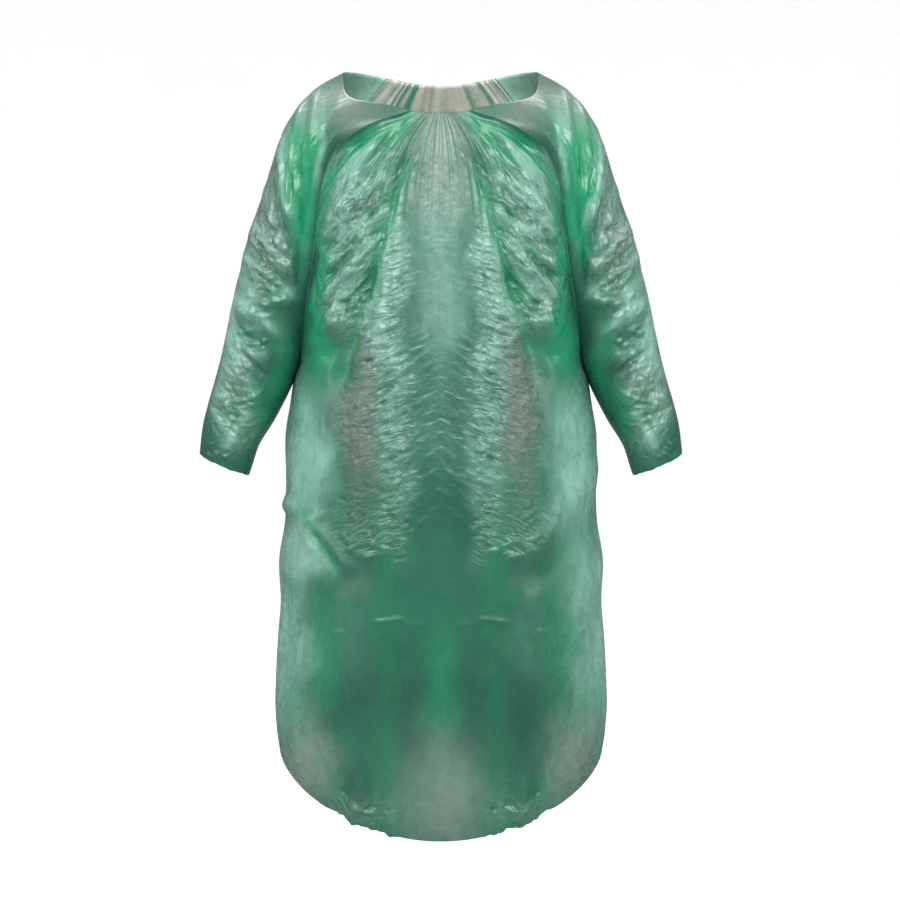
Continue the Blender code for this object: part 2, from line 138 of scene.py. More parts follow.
# Creases: how round their crests are, and how much a crease of the full height paints the film: painted
# sheen on a raised crest, painted valley green in a trough
SHARP_ROUNDING = 0.25
CREST_ROUNDING = 0.12
STEEP_FLANK = 0.55
LINE_PAINTED_LIGHT = 0.8
FOLD_PAINTED_VALLEY = 0.25
TINTED_HEIGHT = 0.005
UNTINTED_WIDTH = 0.0046

# Scattered creases: the ranges of their own shares of a bunch's measures, and how the two halves differ
UP_SHARE = 0.62
LENGTH_RANGE = (0.55, 1.35)
WIDTH_RANGE = (0.7, 1.4)
HEIGHT_RANGE = (0.4, 1.3)
BEND_RANGE = (-0.12, 0.12)
TWIN_RANGE = (0.8, 1.2)
MIRROR_SHIFT = 0.0012

# Soft patches: how fast they end, and how their edges wander, as sine waves of these lengths
PATCH_EDGE = 1.4
WANDER_LENGTHS = (0.11, 0.07, 0.045, 0.028, 0.017)
WANDER_SHARE = 0.05
WANDER_SEED_X, WANDER_SEED_Z = 21, 22

# A strip of painted highlight along the armhole, for the light edge of the fold there, and the smooth strip
# down the outer edge of a sleeve
SEAM_PAINTED_HIGHLIGHT = 0.8
SEAM_PAINTED_HIGHLIGHT_WIDTH = 0.055
SEAM_PAINTED_HIGHLIGHT_LEVELS = (1.02, 1.15, 1.45, 1.70)
SMOOTH_STRIP = 0.10
SMOOTH_SHARE = 0.85
SMOOTH_CREASE_SHARE = 0.6
SMOOTH_END_FROM, SMOOTH_END_TO = 1.70, 1.90

# Facets of crumpled film: the size of one, its share of the depth, its stretch and its turn in degrees
Facets = namedtuple("Facets", "size share stretch turn seed")
FACETS = (
    Facets(0.017, 1.00, 0.55, 40, 5),
    Facets(0.009, 0.45, 0.70, -30, 11),
)
FACET_GRID = 192
FACET_MEAN = 0.45
FACET_POWER = 1.6
PLAIN_CRUMPLE = 0.25

# A ragged hem: where it starts and ends across, how far it steps, and how far up it is felt
Wave = namedtuple("Wave", "turns share start")
HEM_WAVES = (Wave(190, 1.0, 0), Wave(430, 0.6, 1), Wave(870, 0.3, 0))
HEM_RAG_PLACES = (0.055, 0.075, 0.155, 0.175)
HEM_RAG_DEPTH = 0.0015
HEM_RAG_REACH = 0.035

# A slanting cuff: how far it drops on the inner side, how uneven its edge is, and how far up it is felt
CUFF_WAVES = (Wave(41, 1.0, 0), Wave(97, 0.6, 2))
CUFF_DROP = 0.0110
CUFF_RAG = 0.0006
CUFF_REACH = 0.35
CUFF_POWER = 1.5

# What the film's two attributes hold, painted light and shade in the first and relief in the second, and
# what a patch sets
PAINTED_LIGHTS = ("milky", "deep", "grey", "pale")
RELIEFS = ("cross", "fall", "crumple")
PATCH_KINDS = ("crumple", "cross", "fall", "milky", "deep", "grey")

# Patterns in the film's material; a noise has its scale for each metre and its detail
WARP_NOISE = (30.0, 2.0)
WARP_REACH = 0.017
RIDGE_NOISE = (1.0, 2.0)
RIDGE_GAIN = -4.0
CROSS_SCALE = 20.0
FALL_SCALE = 12.0
COARSE_FACETS, COARSE_SHARE = 110.0, 0.7
SMALL_FACETS, SMALL_SHARE = 260.0, 0.3
CRUMPLE_POWER = 1.8
CRUMPLE_GAIN = 0.6
CLOUD_NOISE = (9.0, 5.0)
CLOUD_EDGES = (0.35, 0.65)
GRAIN_NOISE = (70.0, 3.0)
STREAK_SCALES = (75.0, 75.0, 16.0)
STREAK_NOISE = (1.0, 3.0)
GRAIN_SPECKLE = (0.1, 0.85)
STREAK_SPECKLE = (0.0, 0.95)
# How strongly the painted patches follow the fine ridge crests, as painted light on them
CREST_PAINTED_SHEEN = 0.8
SMOOTHER, ROUGHER = 0.07, 0.09
FILM_IOR = 1.52

# One kind of film: the colour of its painted light (inside the neck, on neck pleats and along armholes), a
# factor on its green, how its ridges slant and how close they lie
Skin = namedtuple("Skin", "inside shade cross_slant fall_slant closeness")
FRONT_SKIN = Skin("mint_colour", 1.0, 20, 50, 72.0)
BACK_SKIN = Skin("pale_colour", 0.92, 20, 48, 72.0)
SLEEVE_SKIN = Skin("mint_colour", 1.05, -34, 110, 62.0)

# Seam welds: their grain and relief, where they carry a painted highlight for their fold's light edge, and
# how finely they are built
WELD_NOISE = (90.0, 3.0)
WELD_ROUGHNESS = (0.25, 0.4)
WELD_BUMP_SHARE = 0.4
WELD_BUMP_DEPTH = 0.0002
WELD_PAINTED_HIGHLIGHT_AT = -0.36
WELD_PAINTED_HIGHLIGHT_REACH = 0.12
WELD_PAINTED_HIGHLIGHT_SHARE = 0.8
WELD_SIDES = 6
LOWER_WELD_POINTS, UPPER_WELD_POINTS = 120, 160

# Real cuts of the film, in metres: width, length and the share of that rectangle that is film
Cut = namedtuple("Cut", "width length share")
FRONT_CUT = Cut(0.70, 1.18, 0.90)
BACK_CUT = Cut(0.68, 1.18, 0.90)
SLEEVE_CUT = Cut(0.42, 0.66, 0.86)

# Soft boxes: place, aim height, size and power in watts
SoftBox = namedtuple("SoftBox", "name x y z aim_z width height power")
SOFT_BOXES = (
    SoftBox("key_box", 0.0, -2.1, 1.45, -0.35, 3.0, 1.5, 76),
    SoftBox("side_box_right", -2.2, -1.5, 0.35, -0.45, 0.8, 1.6, 7),
    SoftBox("side_box_left", 2.2, -1.5, 0.35, -0.45, 0.8, 1.6, 7),
    SoftBox("back_box", 0.0, 2.2, 1.6, -0.4, 2.6, 1.0, 30),
)
SKY_LOW = 0.15
STAGE_RADIUS = 4.6
STAGE_BEND = 1.0
STAGE_TOP = 1.2
STAGE_SIDES = 96
STAGE_BEND_STEPS = 10
PAPER_NOISE = (3.0, 2.0)
PAPER_GRAIN = 0.985
PAPER_ROUGHNESS = 0.9

# Columns of the tables below that hold no length
NOT_LENGTHS = "level side count slant spread crumple cross fall milky deep grey".split()


def table(row_type, rows):
    """A table's rows by name, with its lengths turned from millimetres into metres."""
    lengths = [name for name in row_type._fields if name not in NOT_LENGTHS]
    named = [row_type(*row) for row in rows]
    return [row._replace(**{name: getattr(row, name) / 1000 for name in lengths}) for row in named]


# Lengths in the tables from here on are in millimetres.
# One panel's half, seen from its middle: its seam edge, the pull that its curve has there, its middle line
Panel = namedtuple("Panel", "level seam_x seam_y seam_z pull_x pull_y middle_y middle_z")
FRONT = table(Panel, (
    (0.00, 256, 0, -1050, 0, -100, -178, -1160.5),
    (0.06, 260, 0, -1022, 0, -101, -182, -1115),
    (0.12, 261.8, 0, -984.2, 0, -101, -182, -1068),
    (0.28, 257, 0, -887.8, 0, -100, -180, -950),
    (0.39, 251.8, 0, -823.8, 0, -99, -178, -875),
    (0.50, 253.7, 0, -760.1, 0, -98, -176, -800),
    (0.61, 243.8, 0, -696.7, 0, -97, -174, -725),
    (0.72, 241.8, 0, -633.5, 0, -96, -172, -650),
    (0.84, 242, 0, -562.8, 0, -95, -170, -568),
    (0.92, 234.6, 0, -515.8, 0, -94, -168, -515),
    (1.00, 228, 0, -476, 0, -92, -166, -465),
    (1.06, 216, -22, -445.9, 4, -75, -164, -435),
    (1.14, 212.7, -45, -413.7, 4, -60, -163, -402),
    (1.28, 203.2, -65, -350.4, 3, -45, -160, -345),
    (1.42, 192.6, -80, -289.7, 2, -38, -157, -290),
    (1.60, 182.4, -90, -198.5, -2, -30, -150, -215),
    (1.74, 163.4, -100, -135, -20, -20, -143, -160),
    (1.84, 131.2, -115, -104.7, -30, -8, -137, -122),
    (1.92, 96.9, -120, -85.9, -30, -4, -131, -98),
    (2.00, 43.7, -115, -68.1, -15, -3, -125, -71.6),
))
BACK = table(Panel, (
    (0.00, 256, 0, -1050, 0, 94, 168, -1145),
    (0.06, 260, 0, -1022, 0, 95, 171, -1103),
    (0.12, 261.8, 0, -984.2, 0, 95, 171, -1057),
    (0.28, 257, 0, -887.8, 0, 94, 170, -945),
    (0.39, 251.8, 0, -823.8, 0, 93, 168, -870),
    (0.50, 253.7, 0, -760.1, 0, 92, 166, -795),
    (0.61, 243.8, 0, -696.7, 0, 90, 163, -720),
    (0.72, 241.8, 0, -633.5, 0, 88, 159, -645),
    (0.84, 242, 0, -562.8, 0, 86, 154, -563),
    (0.92, 234.6, 0, -515.8, 0, 84, 151, -510),
    (1.00, 228, 0, -476, 0, 82, 149, -460),
    (1.06, 216.5, 22, -446, 3, 66, 148, -425),
    (1.14, 213, 42, -412, 3, 52, 147, -388),
    (1.28, 204, 60, -348, 2, 42, 145, -326),
    (1.42, 194, 72, -284, 0, 34, 142, -265),
    (1.60, 180, 82, -195, -6, 26, 136, -185),
    (1.74, 160, 88, -125, -20, 18, 128, -125),
    (1.84, 135, 92, -80, -30, 10, 119, -80),
    (1.92, 112, 94, -40, -30, 6, 110, -46),
    (2.00, 85, 88, -7, -30, 6, 100, -17),
))

# One sleeve, seen from its outer edge: that edge, the reach of its curve there to the front and the back,
# and the pull that the curve has at the two seams
Sleeve = namedtuple(
    "Sleeve",
    "level outer_x outer_y outer_z front_reach front_drop front_pull_x front_pull_y front_pull_z"
    " back_reach back_drop back_pull_x back_pull_y back_pull_z",
)
SLEEVE = table(Sleeve, (
    (0.00, 376.6, 0, -589.5, 68, 0, 0, -68, 0, 66, 0, 0, 66, 0),
    (0.30, 371.2, 0, -548, 73, 0, 0, -73, 0, 70, 0, 0, 70, 0),
    (0.55, 362, 0, -512, 78, 0, 0, -78, 0, 74, 0, 0, 74, 0),
    (0.80, 351.5, 0, -476.5, 81, 0, 0, -81, 0, 77, 0, 0, 77, 0),
    (1.00, 341.5, 0, -440, 84, 0, 0, -84, 0, 80, 0, 0, 80, 0),
    (1.06, 337, 0, -420, 84, 0, 18, -68, -4, 80, 0, 18, 64, -4),
    (1.14, 328.9, 0, -382, 82, 0, 30, -50, -4, 78, 0, 30, 48, -4),
    (1.28, 314, 0, -318, 76, 0, 36, -36, 2, 74, 0, 36, 34, 2),
    (1.42, 298.5, 0, -258, 71, 0, 38, -26, 6, 70, 0, 38, 24, 6),
    (1.60, 273, 0, -186, 65, 0, 40, -16, 6, 64, 0, 40, 16, 6),
    (1.74, 249, 0, -112, 62, 6, 42, -6, 12, 60, 2, 40, 10, 12),
    (1.84, 225, 0, -64, 58, 16, 48, 6, 12, 54, 6, 36, 6, 12),
    (1.92, 190, 5, -26.5, 56, 34, 56, 12, 14, 48, 6, 32, 2, 10),
    (2.00, 150, 10, -4, 55, 56, 86, 15, 23, 44, -7, 34, -4, 7),
))
Wrist = namedtuple("Wrist", "level inner_x inner_z")
UNDERSIDE = table(Wrist, (
    (0.00, 300.3, -614.6),
    (0.30, 283, -575),
    (0.55, 260.5, -539.3),
    (0.80, 241, -503),
    (1.00, 228, -476),
))

# The largest creases as seen from the front, for a side at positive x. A trough has a negative height.
Crease = namedtuple("Crease", "top_x top_z foot_x foot_z width height side", defaults=(BOTH,))
FRONT_CREASES = table(Crease, (
    # long troughs from the neck to the hip
    (64, -95, 107, -183, 14, -7),
    (56, -170, 111, -327, 15, -6.5),
    (111, -327, 147, -450, 16, -8.5),
    (142, -450, 150, -647, 15, -3.2),
    # bunched cloth at the side of the chest, ending in a lip
    (112, -150, 162, -235, 11, 5.5),
    (120, -215, 166, -290, 11, 6.5),
    (126, -280, 168, -345, 12, 7),
    (126, -362, 170, -392, 13, 9),
    (130, -412, 172, -430, 14, -6),
    # folds at the hip
    (236, -668, 198, -683, 16, 8.5, WEARERS_RIGHT),
    (198, -683, 143, -744, 14, 6.5, WEARERS_RIGHT),
    (228, -735, 172, -775, 22, 3, WEARERS_RIGHT),
    (230, -620, 150, -720, 20, 5.5, WEARERS_LEFT),
    (225, -700, 140, -770, 20, -4.5, WEARERS_LEFT),
    # soft upright folds of the skirt
    (83, -700, 84, -1120, 26, -5.5),
    (130, -760, 126, -1060, 30, 3.5),
    (178, -790, 170, -1030, 28, -3.5),
    (226, -960, 152, -1104, 22, -4.5),
    (205, -900, 105, -1125, 24, 3.8),
    (0, -300, 0, -720, 36, 3.5),
    # crumpled corners of the hem
    (72, -1105, 76, -1155, 9, 5),
    (98, -1095, 104, -1150, 9, -5),
    (122, -1085, 132, -1140, 10, 5.5),
    (150, -1075, 162, -1130, 10, -4.5),
))
BACK_CREASES = table(Crease, (
    (90, -80, 135, -260, 18, -6),
    (50, -180, 110, -480, 22, -7),
    (120, -260, 172, -345, 16, 6.5),
    (122, -350, 176, -410, 16, 6, WEARERS_RIGHT),
    (110, -460, 150, -700, 26, -7.5),
    (228, -640, 140, -740, 20, 8, WEARERS_LEFT),
    (215, -600, 130, -670, 22, 6, WEARERS_RIGHT),
    (70, -720, 80, -1100, 28, -8.5),
    (125, -740, 130, -1040, 28, 6),
    (180, -780, 170, -1020, 26, -5.5),
    (215, -930, 130, -1090, 22, -6.5),
    (0, -350, 0, -800, 34, 5),
))
SLEEVE_CREASES = table(Crease, (
    (184, -110, 208, -290, 12, -8),
    (282, -255, 236, -300, 12, 5.5),
    (296, -310, 244, -330, 12, -6.5),
    (300, -368, 240, -352, 12, 6.5),
    (312, -400, 252, -420, 14, -5.5),
    (322, -470, 286, -500, 12, 5),
    (336, -520, 300, -555, 13, -5),
))

# Smaller single creases with a sharp crest; the same measures as above
FRONT_LINES = table(Crease, (
    # edges of the troughs below the neck
    (50, -78, 125, -116, 7.5, -5),
    (122, -114, 166, -168, 7.5, -6),
    (60, -98, 100, -140, 5.5, -4),
    (98, -112, 150, -160, 5, 4),
    (48, -81, 85, -135, 6, 3.5),
    (84, -135, 92, -170, 6.5, 4),
    (74, -94, 128, -138, 6, 3),
    (126, -138, 153, -188, 7, 3.4),
    (52, -172, 82, -274, 7, 2.8),
    (81, -274, 114, -374, 7.5, 3.4),
    (66, -150, 88, -215, 4.5, 2.2),
    (62, -186, 109, -321, 6.2, -4),
    (109, -321, 138, -410, 6.2, -4),
    # bunched cloth at the side of the chest
    (101, -128, 130, -169, 6.5, 4),
    (93, -172, 117, -197, 6, 3.5),
    (113, -178, 142, -210, 7, 4.2),
    (130, -194, 160, -223, 6.5, 4.5),
    (84, -208, 113, -229, 5.5, -3),
    (90, -222, 132, -250, 7, 4.8),
    (95, -247, 135, -271, 6, -4.4),
    (140, -220, 166, -250, 6, 3.8),
    (118, -256, 158, -291, 7, 5),
    (98, -266, 131, -301, 6, 3.6),
    (132, -279, 162, -308, 5.5, -4.5),
    (115, -290, 149, -327, 7, 4.6),
    (130, -310, 166, -337, 6, 4.4),
    (110, -323, 143, -352, 6, -4),
    (136, -343, 165, -366, 6.5, 4.8),
    (128, -382, 161, -375, 6, 6),
    # dark troughs between them
    (112, -226, 138, -252, 4.5, -5.5),
    (125, -272, 160, -306, 4.5, -6),
    (131, -262, 166, -266, 4, -5),
    (140, -318, 166, -352, 4.5, -5.5),
    (108, -285, 128, -318, 4.5, -4.5),
    # herringbone at the waist
    (24, -557, 60, -598, 3, 1.8),
    (32, -540, 66, -582, 3, 1.4),
    (13, -576, 39, -607, 3, 1.4),
    (19, -606, 54, -630, 3, 1.6),
    (33, -515, 63, -548, 3, 1.3),
    (8, -632, 36, -652, 2.8, 1),
    # arcs at the hip
    (135, -722, 108, -731, 4, 3),
    (108, -731, 82, -722, 3.5, 2.4),
    (111, -710, 84, -718, 3.5, 2.2),
    (143, -700, 128, -716, 4, 2.4),
    # the edge and the crest of the light fold at the wearer's right hip
    (238, -684, 206, -670, 4.8, -2.6, WEARERS_RIGHT),
    (200, -676, 186, -707, 4.8, -3.4, WEARERS_RIGHT),
    (186, -707, 160, -740, 4.8, -3.5, WEARERS_RIGHT),
    (212, -694, 196, -723, 9.5, 3.2, WEARERS_RIGHT),
    (196, -723, 162, -756, 8, 3.2, WEARERS_RIGHT),
    # thin creases across the skirt and at its corners
    (94, -828, 64, -823, 3, 3.4),
    (56, -829, 30, -830, 2.8, 1.4),
    (161, -850, 148, -846, 3, 2.8),
    (136, -1111, 106, -1121, 4, 3),
    (150, -1096, 112, -1106, 4.5, -2.6),
))
BACK_LINES = table(Crease, (
    (95, -85, 150, -190, 7, 3.5),
    (70, -120, 110, -250, 6.5, 3),
    (106, -215, 150, -262, 7, 4, WEARERS_LEFT),
    (112, -240, 164, -280, 6.5, 4.2, WEARERS_RIGHT),
    (120, -300, 172, -332, 7, 4.5),
    (98, -338, 150, -372, 6.5, -4),
    (118, -384, 176, -398, 6.5, 4, WEARERS_LEFT),
    (30, -560, 70, -604, 3.2, 1.6),
    (18, -610, 60, -640, 3.2, 1.5, WEARERS_RIGHT),
    (40, -520, 82, -556, 3.2, 1.5, WEARERS_LEFT),
    (222, -640, 186, -676, 6, 4, WEARERS_LEFT),
    (186, -676, 146, -728, 6, 3.6, WEARERS_LEFT),
    (110, -840, 70, -834, 2.6, 1.4, WEARERS_RIGHT),
    (90, -905, 48, -900, 2.6, 1.2, WEARERS_LEFT),
    (130, -1085, 95, -1104, 4.5, 3),
))
SLEEVE_LINES = table(Crease, (
    # long pleats that run down from the shoulder
    (214, -52, 224, -135, 5, 4.5),
    (204, -60, 212, -155, 5.5, -5),
    (190, -62, 198, -170, 5.5, 5),
    (240, -90, 234, -190, 5, 4.5),
    (228, -80, 226, -180, 5, -4.5),
    (178, -75, 187, -175, 6, 4),
    (160, -58, 178, -110, 6, -3),
    (228, -100, 217, -186, 4.8, 4),
    (211, -75, 205, -150, 4.8, 3.6),
    (246, -125, 226, -215, 5.5, 3.2),
    (228, -180, 206, -262, 5.5, 3.4),
    (266, -190, 240, -262, 6, 3.2),
    # bunched cloth at the elbow
    (282, -237, 240, -290, 7, 4),
    (294, -262, 250, -309, 6.5, -4),
    (296, -290, 234, -335, 7.5, 4.8),
    (292, -322, 250, -344, 6.5, -4),
    (300, -358, 252, -396, 8, 4),
    (286, -345, 262, -385, 6, 3),
    # loose facets of the lower arm
    (318, -410, 276, -432, 8, 3.5),
    (306, -440, 288, -490, 7, 3.2),
    (340, -497, 300, -522, 8.5, 4.5),
    (318, -480, 322, -530, 7, -3.6),
    (352, -520, 318, -560, 8, 3.6),
    (300, -535, 326, -572, 7.5, 3.2),
))

# Many short creases of one kind, scattered in an oval seen from the front. A positive slant falls outwards.
Bunch = namedtuple("Bunch", "x z half_width half_height count length width height slant spread")
FRONT_BUNCHES = table(Bunch, (
    (70, -140, 40, 50, 30, 50, 4, 1.3, 62, 8),
    (122, -215, 36, 60, 70, 34, 5, 2.1, 48, 20),
    (138, -310, 32, 60, 80, 34, 5, 2.4, 42, 22),
    (148, -365, 20, 22, 20, 28, 5.5, 3, 25, 25),
    (72, -300, 18, 50, 40, 30, 4.2, 1.6, 18, 12),
    (92, -400, 24, 55, 60, 32, 4.2, 2.1, 14, 10),
    (72, -490, 24, 55, 56, 32, 4.2, 2.1, 18, 10),
    (68, -570, 22, 65, 70, 32, 4.2, 2, 22, 12),
    (64, -670, 16, 55, 34, 22, 4, 1.7, 8, 22),
    (30, -500, 32, 110, 90, 40, 3.6, 0.9, 34, 8),
    (26, -620, 26, 60, 44, 44, 3, 0.8, 42, 7),
    (118, -490, 34, 110, 150, 20, 4.2, 0.9, 20, 50),
    (105, -670, 50, 60, 60, 34, 4.2, 1.1, -8, 34),
    (200, -600, 40, 100, 16, 60, 8, 0.8, 60, 30),
    (185, -300, 14, 100, 24, 28, 5, 1, 70, 40),
    (120, -860, 110, 120, 18, 26, 2.2, 0.7, 2, 12),
    (205, -900, 40, 120, 20, 60, 6, 1, 80, 14),
    (195, -1030, 36, 50, 26, 55, 4.5, 1.3, -55, 8),
    (118, -1105, 50, 22, 44, 34, 4, 1.7, -24, 22),
    (40, -1120, 50, 25, 10, 30, 3.5, 0.7, -10, 20),
))
BACK_BUNCHES = table(Bunch, (
    (80, -120, 50, 60, 36, 50, 4.2, 1.4, 62, 10),
    (125, -250, 42, 70, 90, 34, 5, 2, 44, 24),
    (140, -350, 34, 60, 70, 34, 5.2, 2.2, 30, 26),
    (60, -400, 30, 110, 110, 32, 4.2, 1.7, 16, 14),
    (64, -580, 26, 80, 80, 32, 4.2, 1.8, 24, 14),
    (26, -520, 30, 120, 80, 40, 3.6, 0.9, 36, 8),
    (120, -520, 36, 120, 130, 22, 4.2, 1, 20, 50),
    (110, -690, 60, 60, 60, 34, 4.4, 1.1, -8, 34),
    (205, -620, 36, 110, 16, 60, 8, 0.8, 60, 30),
    (120, -880, 110, 120, 20, 28, 2.4, 0.8, 2, 14),
    (200, -920, 40, 120, 20, 60, 6, 1, 80, 14),
    (190, -1020, 40, 50, 26, 55, 4.6, 1.3, -50, 10),
    (110, -1090, 55, 22, 40, 34, 4.2, 1.6, -22, 22),
))
SLEEVE_BUNCHES = table(Bunch, (
    (222, -110, 34, 45, 14, 60, 4.2, 1.2, 98, 5),
    (240, -185, 30, 55, 44, 60, 4.6, 1.6, 112, 7),
    (264, -262, 26, 40, 34, 42, 7.5, 2.8, -38, 20),
    (268, -325, 28, 35, 34, 40, 7.5, 2.8, -28, 24),
    (285, -390, 34, 40, 44, 44, 5.4, 2, -22, 26),
    (305, -460, 32, 40, 32, 50, 5.4, 2, -56, 26),
    (318, -520, 32, 35, 36, 46, 5.4, 2.2, -30, 30),
    (335, -570, 36, 24, 22, 26, 5.5, 1.2, 10, 60),
    (225, -260, 14, 90, 24, 56, 4.6, 1.2, 108, 8),
))

# Soft patches: how crumpled the film is there, how strong its fine ridges are that run across or that fall
# outwards, and how much painted sheen, painted valley green and painted glare lie on it as painted light
# and shade
PATCH_FIELDS = "x z half_width half_height crumple cross fall milky deep grey side"
Patch = namedtuple("Patch", PATCH_FIELDS, defaults=(BOTH,))
FRONT_PATCHES = table(Patch, (
    (0, -150, 45, 85, 0.1, 0, 0.1, 0.45, 0, 0.36),
    (178, -345, 12, 80, 0, 0, 0, 0, 0.8, 0),
    (0, -320, 40, 120, 0.15, 0.1, 0, 0.6, 0, 0.14),
    (0, -520, 40, 90, 0.05, 0.25, 0, 0.2, 0, 0),
    (80, -150, 30, 60, 0.1, 0, 0.5, 0.1, 0.3, 0.14),
    (122, -225, 36, 70, 0.8, 0.1, 0.9, 0.45, 0, 0.17),
    (140, -330, 32, 70, 0.9, 0.2, 0.8, 0.45, 0, 0.17),
    (69, -290, 22, 70, 0.4, 0.8, 0.2, 1, 0, 0.16),
    (90, -392, 30, 66, 0.45, 0.9, 0.1, 0.85, 0, 0.14),
    (69, -530, 28, 140, 0.5, 1, 0, 0.66, 0, 0.1),
    (68, -680, 20, 60, 0.4, 0.7, 0, 0.14, 0, 0.05),
    (120, -520, 30, 120, 0.3, 0.4, 0.1, 0, 0, 0.45),
    (120, -690, 40, 40, 0.2, 0.5, 0.1, 0, 0.2, 0.14),
    (206, -590, 44, 120, -0.2, 0, 0, 1, 0, 0),
    (262, -800, 18, 260, 0, 0, 0, 0.6, 0, 0),
    (184, -430, 26, 60, -0.1, 0, 0, 0, 0.8, 0),
    (176, -250, 12, 130, 0.1, 0, 0.3, 0.2, 0.5, 0),
    (0, -780, 80, 130, -0.2, 0, 0, 0, 0.1, 0),
    (0, -930, 30, 90, -0.1, 0, 0, 0, 0.5, 0),
    (0, -1090, 70, 90, 0, 0, 0, 0.25, 0, 0.32),
    (200, -1050, 45, 70, 0.2, 0, 0.15, 0.15, 0, 0.42),
    (120, -1120, 50, 25, 0.5, 0.4, 0.3, 0.2, 0, 0.14),
    (213, -735, 30, 34, 0, 0, 0.1, 1, 0, 0.24, WEARERS_RIGHT),
    (210, -760, 40, 60, 0, 0, 0.1, 0.35, 0, 0, WEARERS_LEFT),
    (232, -880, 40, 130, 0.05, 0, 0.2, 0.75, 0, 0),
    (185, -850, 30, 110, 0, 0, 0.1, 0, 0.2, 0),
    (140, -850, 36, 80, 0, 0, 0.1, 0.14, 0.12, 0),
    (130, -775, 30, 18, 0, 0.1, 0, 0, 0, 0.16),
))
BACK_PATCHES = table(Patch, (
    (0, -30, 150, 60, 0, 0, 0, 0.85, 0, 0.3),
    (0, -200, 50, 120, 0.2, 0.1, 0, 0.4, 0, 0.32),
    (125, -230, 40, 80, 0.8, 0.1, 0.8, 0.4, 0, 0.17),
    (140, -340, 36, 70, 0.8, 0.2, 0.8, 0.4, 0, 0.14),
    (60, -440, 36, 170, 0.5, 0.9, 0.1, 0.45, 0, 0.07),
    (64, -640, 24, 80, 0.4, 0.8, 0, 0.3, 0, 0.07),
    (0, -520, 40, 120, 0.05, 0.25, 0, 0.15, 0, 0),
    (125, -540, 34, 120, 0.3, 0.4, 0.1, 0, 0, 0.39),
    (212, -600, 44, 120, -0.2, 0, 0, 0.85, 0, 0),
    (180, -420, 28, 70, -0.1, 0, 0, 0, 0.9, 0),
    (0, -860, 60, 140, -0.2, 0, 0, 0, 0.4, 0),
    (0, -1080, 75, 80, 0, 0, 0, 0.25, 0, 0.28),
    (200, -1040, 50, 70, 0.25, 0, 0.5, 0.15, 0, 0.35),
    (230, -880, 38, 120, 0.05, 0, 0.3, 0.65, 0, 0),
    (262, -800, 18, 260, 0, 0, 0, 0.6, 0, 0),
    (120, -1110, 50, 25, 0.5, 0.4, 0.3, 0.2, 0, 0.14),
))
SLEEVE_PATCHES = table(Patch, (
    (130, -70, 45, 35, 0, 0, 0, 0, 0, 0.28),
    (208, -55, 30, 40, 0, 0, 0, -0.5, 0.2, 0.25),
    (152, -35, 28, 24, 0, 0, 0, -0.4, 0.1, 0.3),
    (183, -115, 7, 50, 0, 0, 0, 0.55, 0, 0.1),
    (218, -135, 7, 55, 0, 0, 0, 0, 0.9, 0),
    (197, -145, 6, 45, 0, 0, 0, 0, 0.9, 0),
    (204, -195, 19, 90, 0, 0, 0, 0, 1, 0),
    (256, -170, 16, 70, 0.1, 0.1, 0.4, 0.2, 0, 0.2),
    (268, -285, 30, 65, 0.6, 0.8, 0.1, 0.15, 0, 0.4),
    (325, -370, 20, 120, -0.2, 0, 0, 1, 0, 0.1),
    (290, -300, 14, 90, 0, 0, 0, 0.6, 0, 0),
    (244, -440, 16, 90, 0, 0.1, 0, 0, 0.5, 0),
    (280, -530, 16, 60, 0, 0.1, 0, 0, 0.6, 0),
    (315, -510, 30, 70, 0.4, 0.5, 0.2, 0.1, 0, 0.32),
))

# All that makes one panel: its form, the way it faces, its fine grid, its folds and the seed of its scatter
Making = namedtuple(
    "Making",
    "name facing rows stretches columns creases lines bunches patches gathers gather_count seed",
)
FRONT_PANEL = Making(
    name="front_film",
    facing=1,
    rows=FRONT,
    stretches=FRONT_STRETCHES,
    columns=FRONT_COLUMNS,
    creases=FRONT_CREASES,
    lines=FRONT_LINES,
    bunches=FRONT_BUNCHES,
    patches=FRONT_PATCHES,
    gathers=FRONT_GATHERS,
    gather_count=FRONT_GATHER_COUNT,
    seed=1,
)
BACK_PANEL = Making(
    name="back_film",
    facing=-1,
    rows=BACK,
    stretches=BACK_STRETCHES,
    columns=BACK_COLUMNS,
    creases=BACK_CREASES,
    lines=BACK_LINES,
    bunches=BACK_BUNCHES,
    patches=BACK_PATCHES,
    gathers=BACK_GATHERS,
    gather_count=BACK_GATHER_COUNT,
    seed=2,
)
SLEEVE_SEED = 3


# Tables and curves
def table_at(rows, levels):
    """A table's columns at many levels, on smooth curves through its rows."""
    values = np.array(rows)
    knots = values[:, 0]
    last = len(rows) - 1
    low = np.clip(np.searchsorted(knots, levels, side="right") - 1, 0, last - 1)
    before, high, after = np.maximum(low - 1, 0), low + 1, np.minimum(low + 2, last)
    span = (knots[high] - knots[low])[:, None]
    t = (levels - knots[low])[:, None] / span
    rise_low = (values[high] - values[before]) / (knots[high] - knots[before])[:, None] * span
    rise_high = (values[after] - values[low]) / (knots[after] - knots[low])[:, None] * span
    found = values[low] + (values[high] - values[low]) * t * t * (3 - 2 * t)
    found += rise_low * t * (1 - t) ** 2 - rise_high * t * t * (1 - t)
    return type(rows[0])(*found.T)


def places(x, y, z):
    """Points from their three measures, which may be arrays or single numbers."""
    return np.stack(np.broadcast_arrays(x, y, z), axis=-1).astype(float)


def bezier(p, q, r, s, t):
    """Points at t on cubic curves with the four given control points."""
    u = 1 - t
    return p * u**3 + q * (3 * u * u * t) + r * (3 * u * t * t) + s * t**3


def ease(low, high, value):
    """0 below low, 1 above high, smooth in between."""
    t = np.clip((value - low) / (high - low), 0, 1)
    return t * t * (3 - 2 * t)


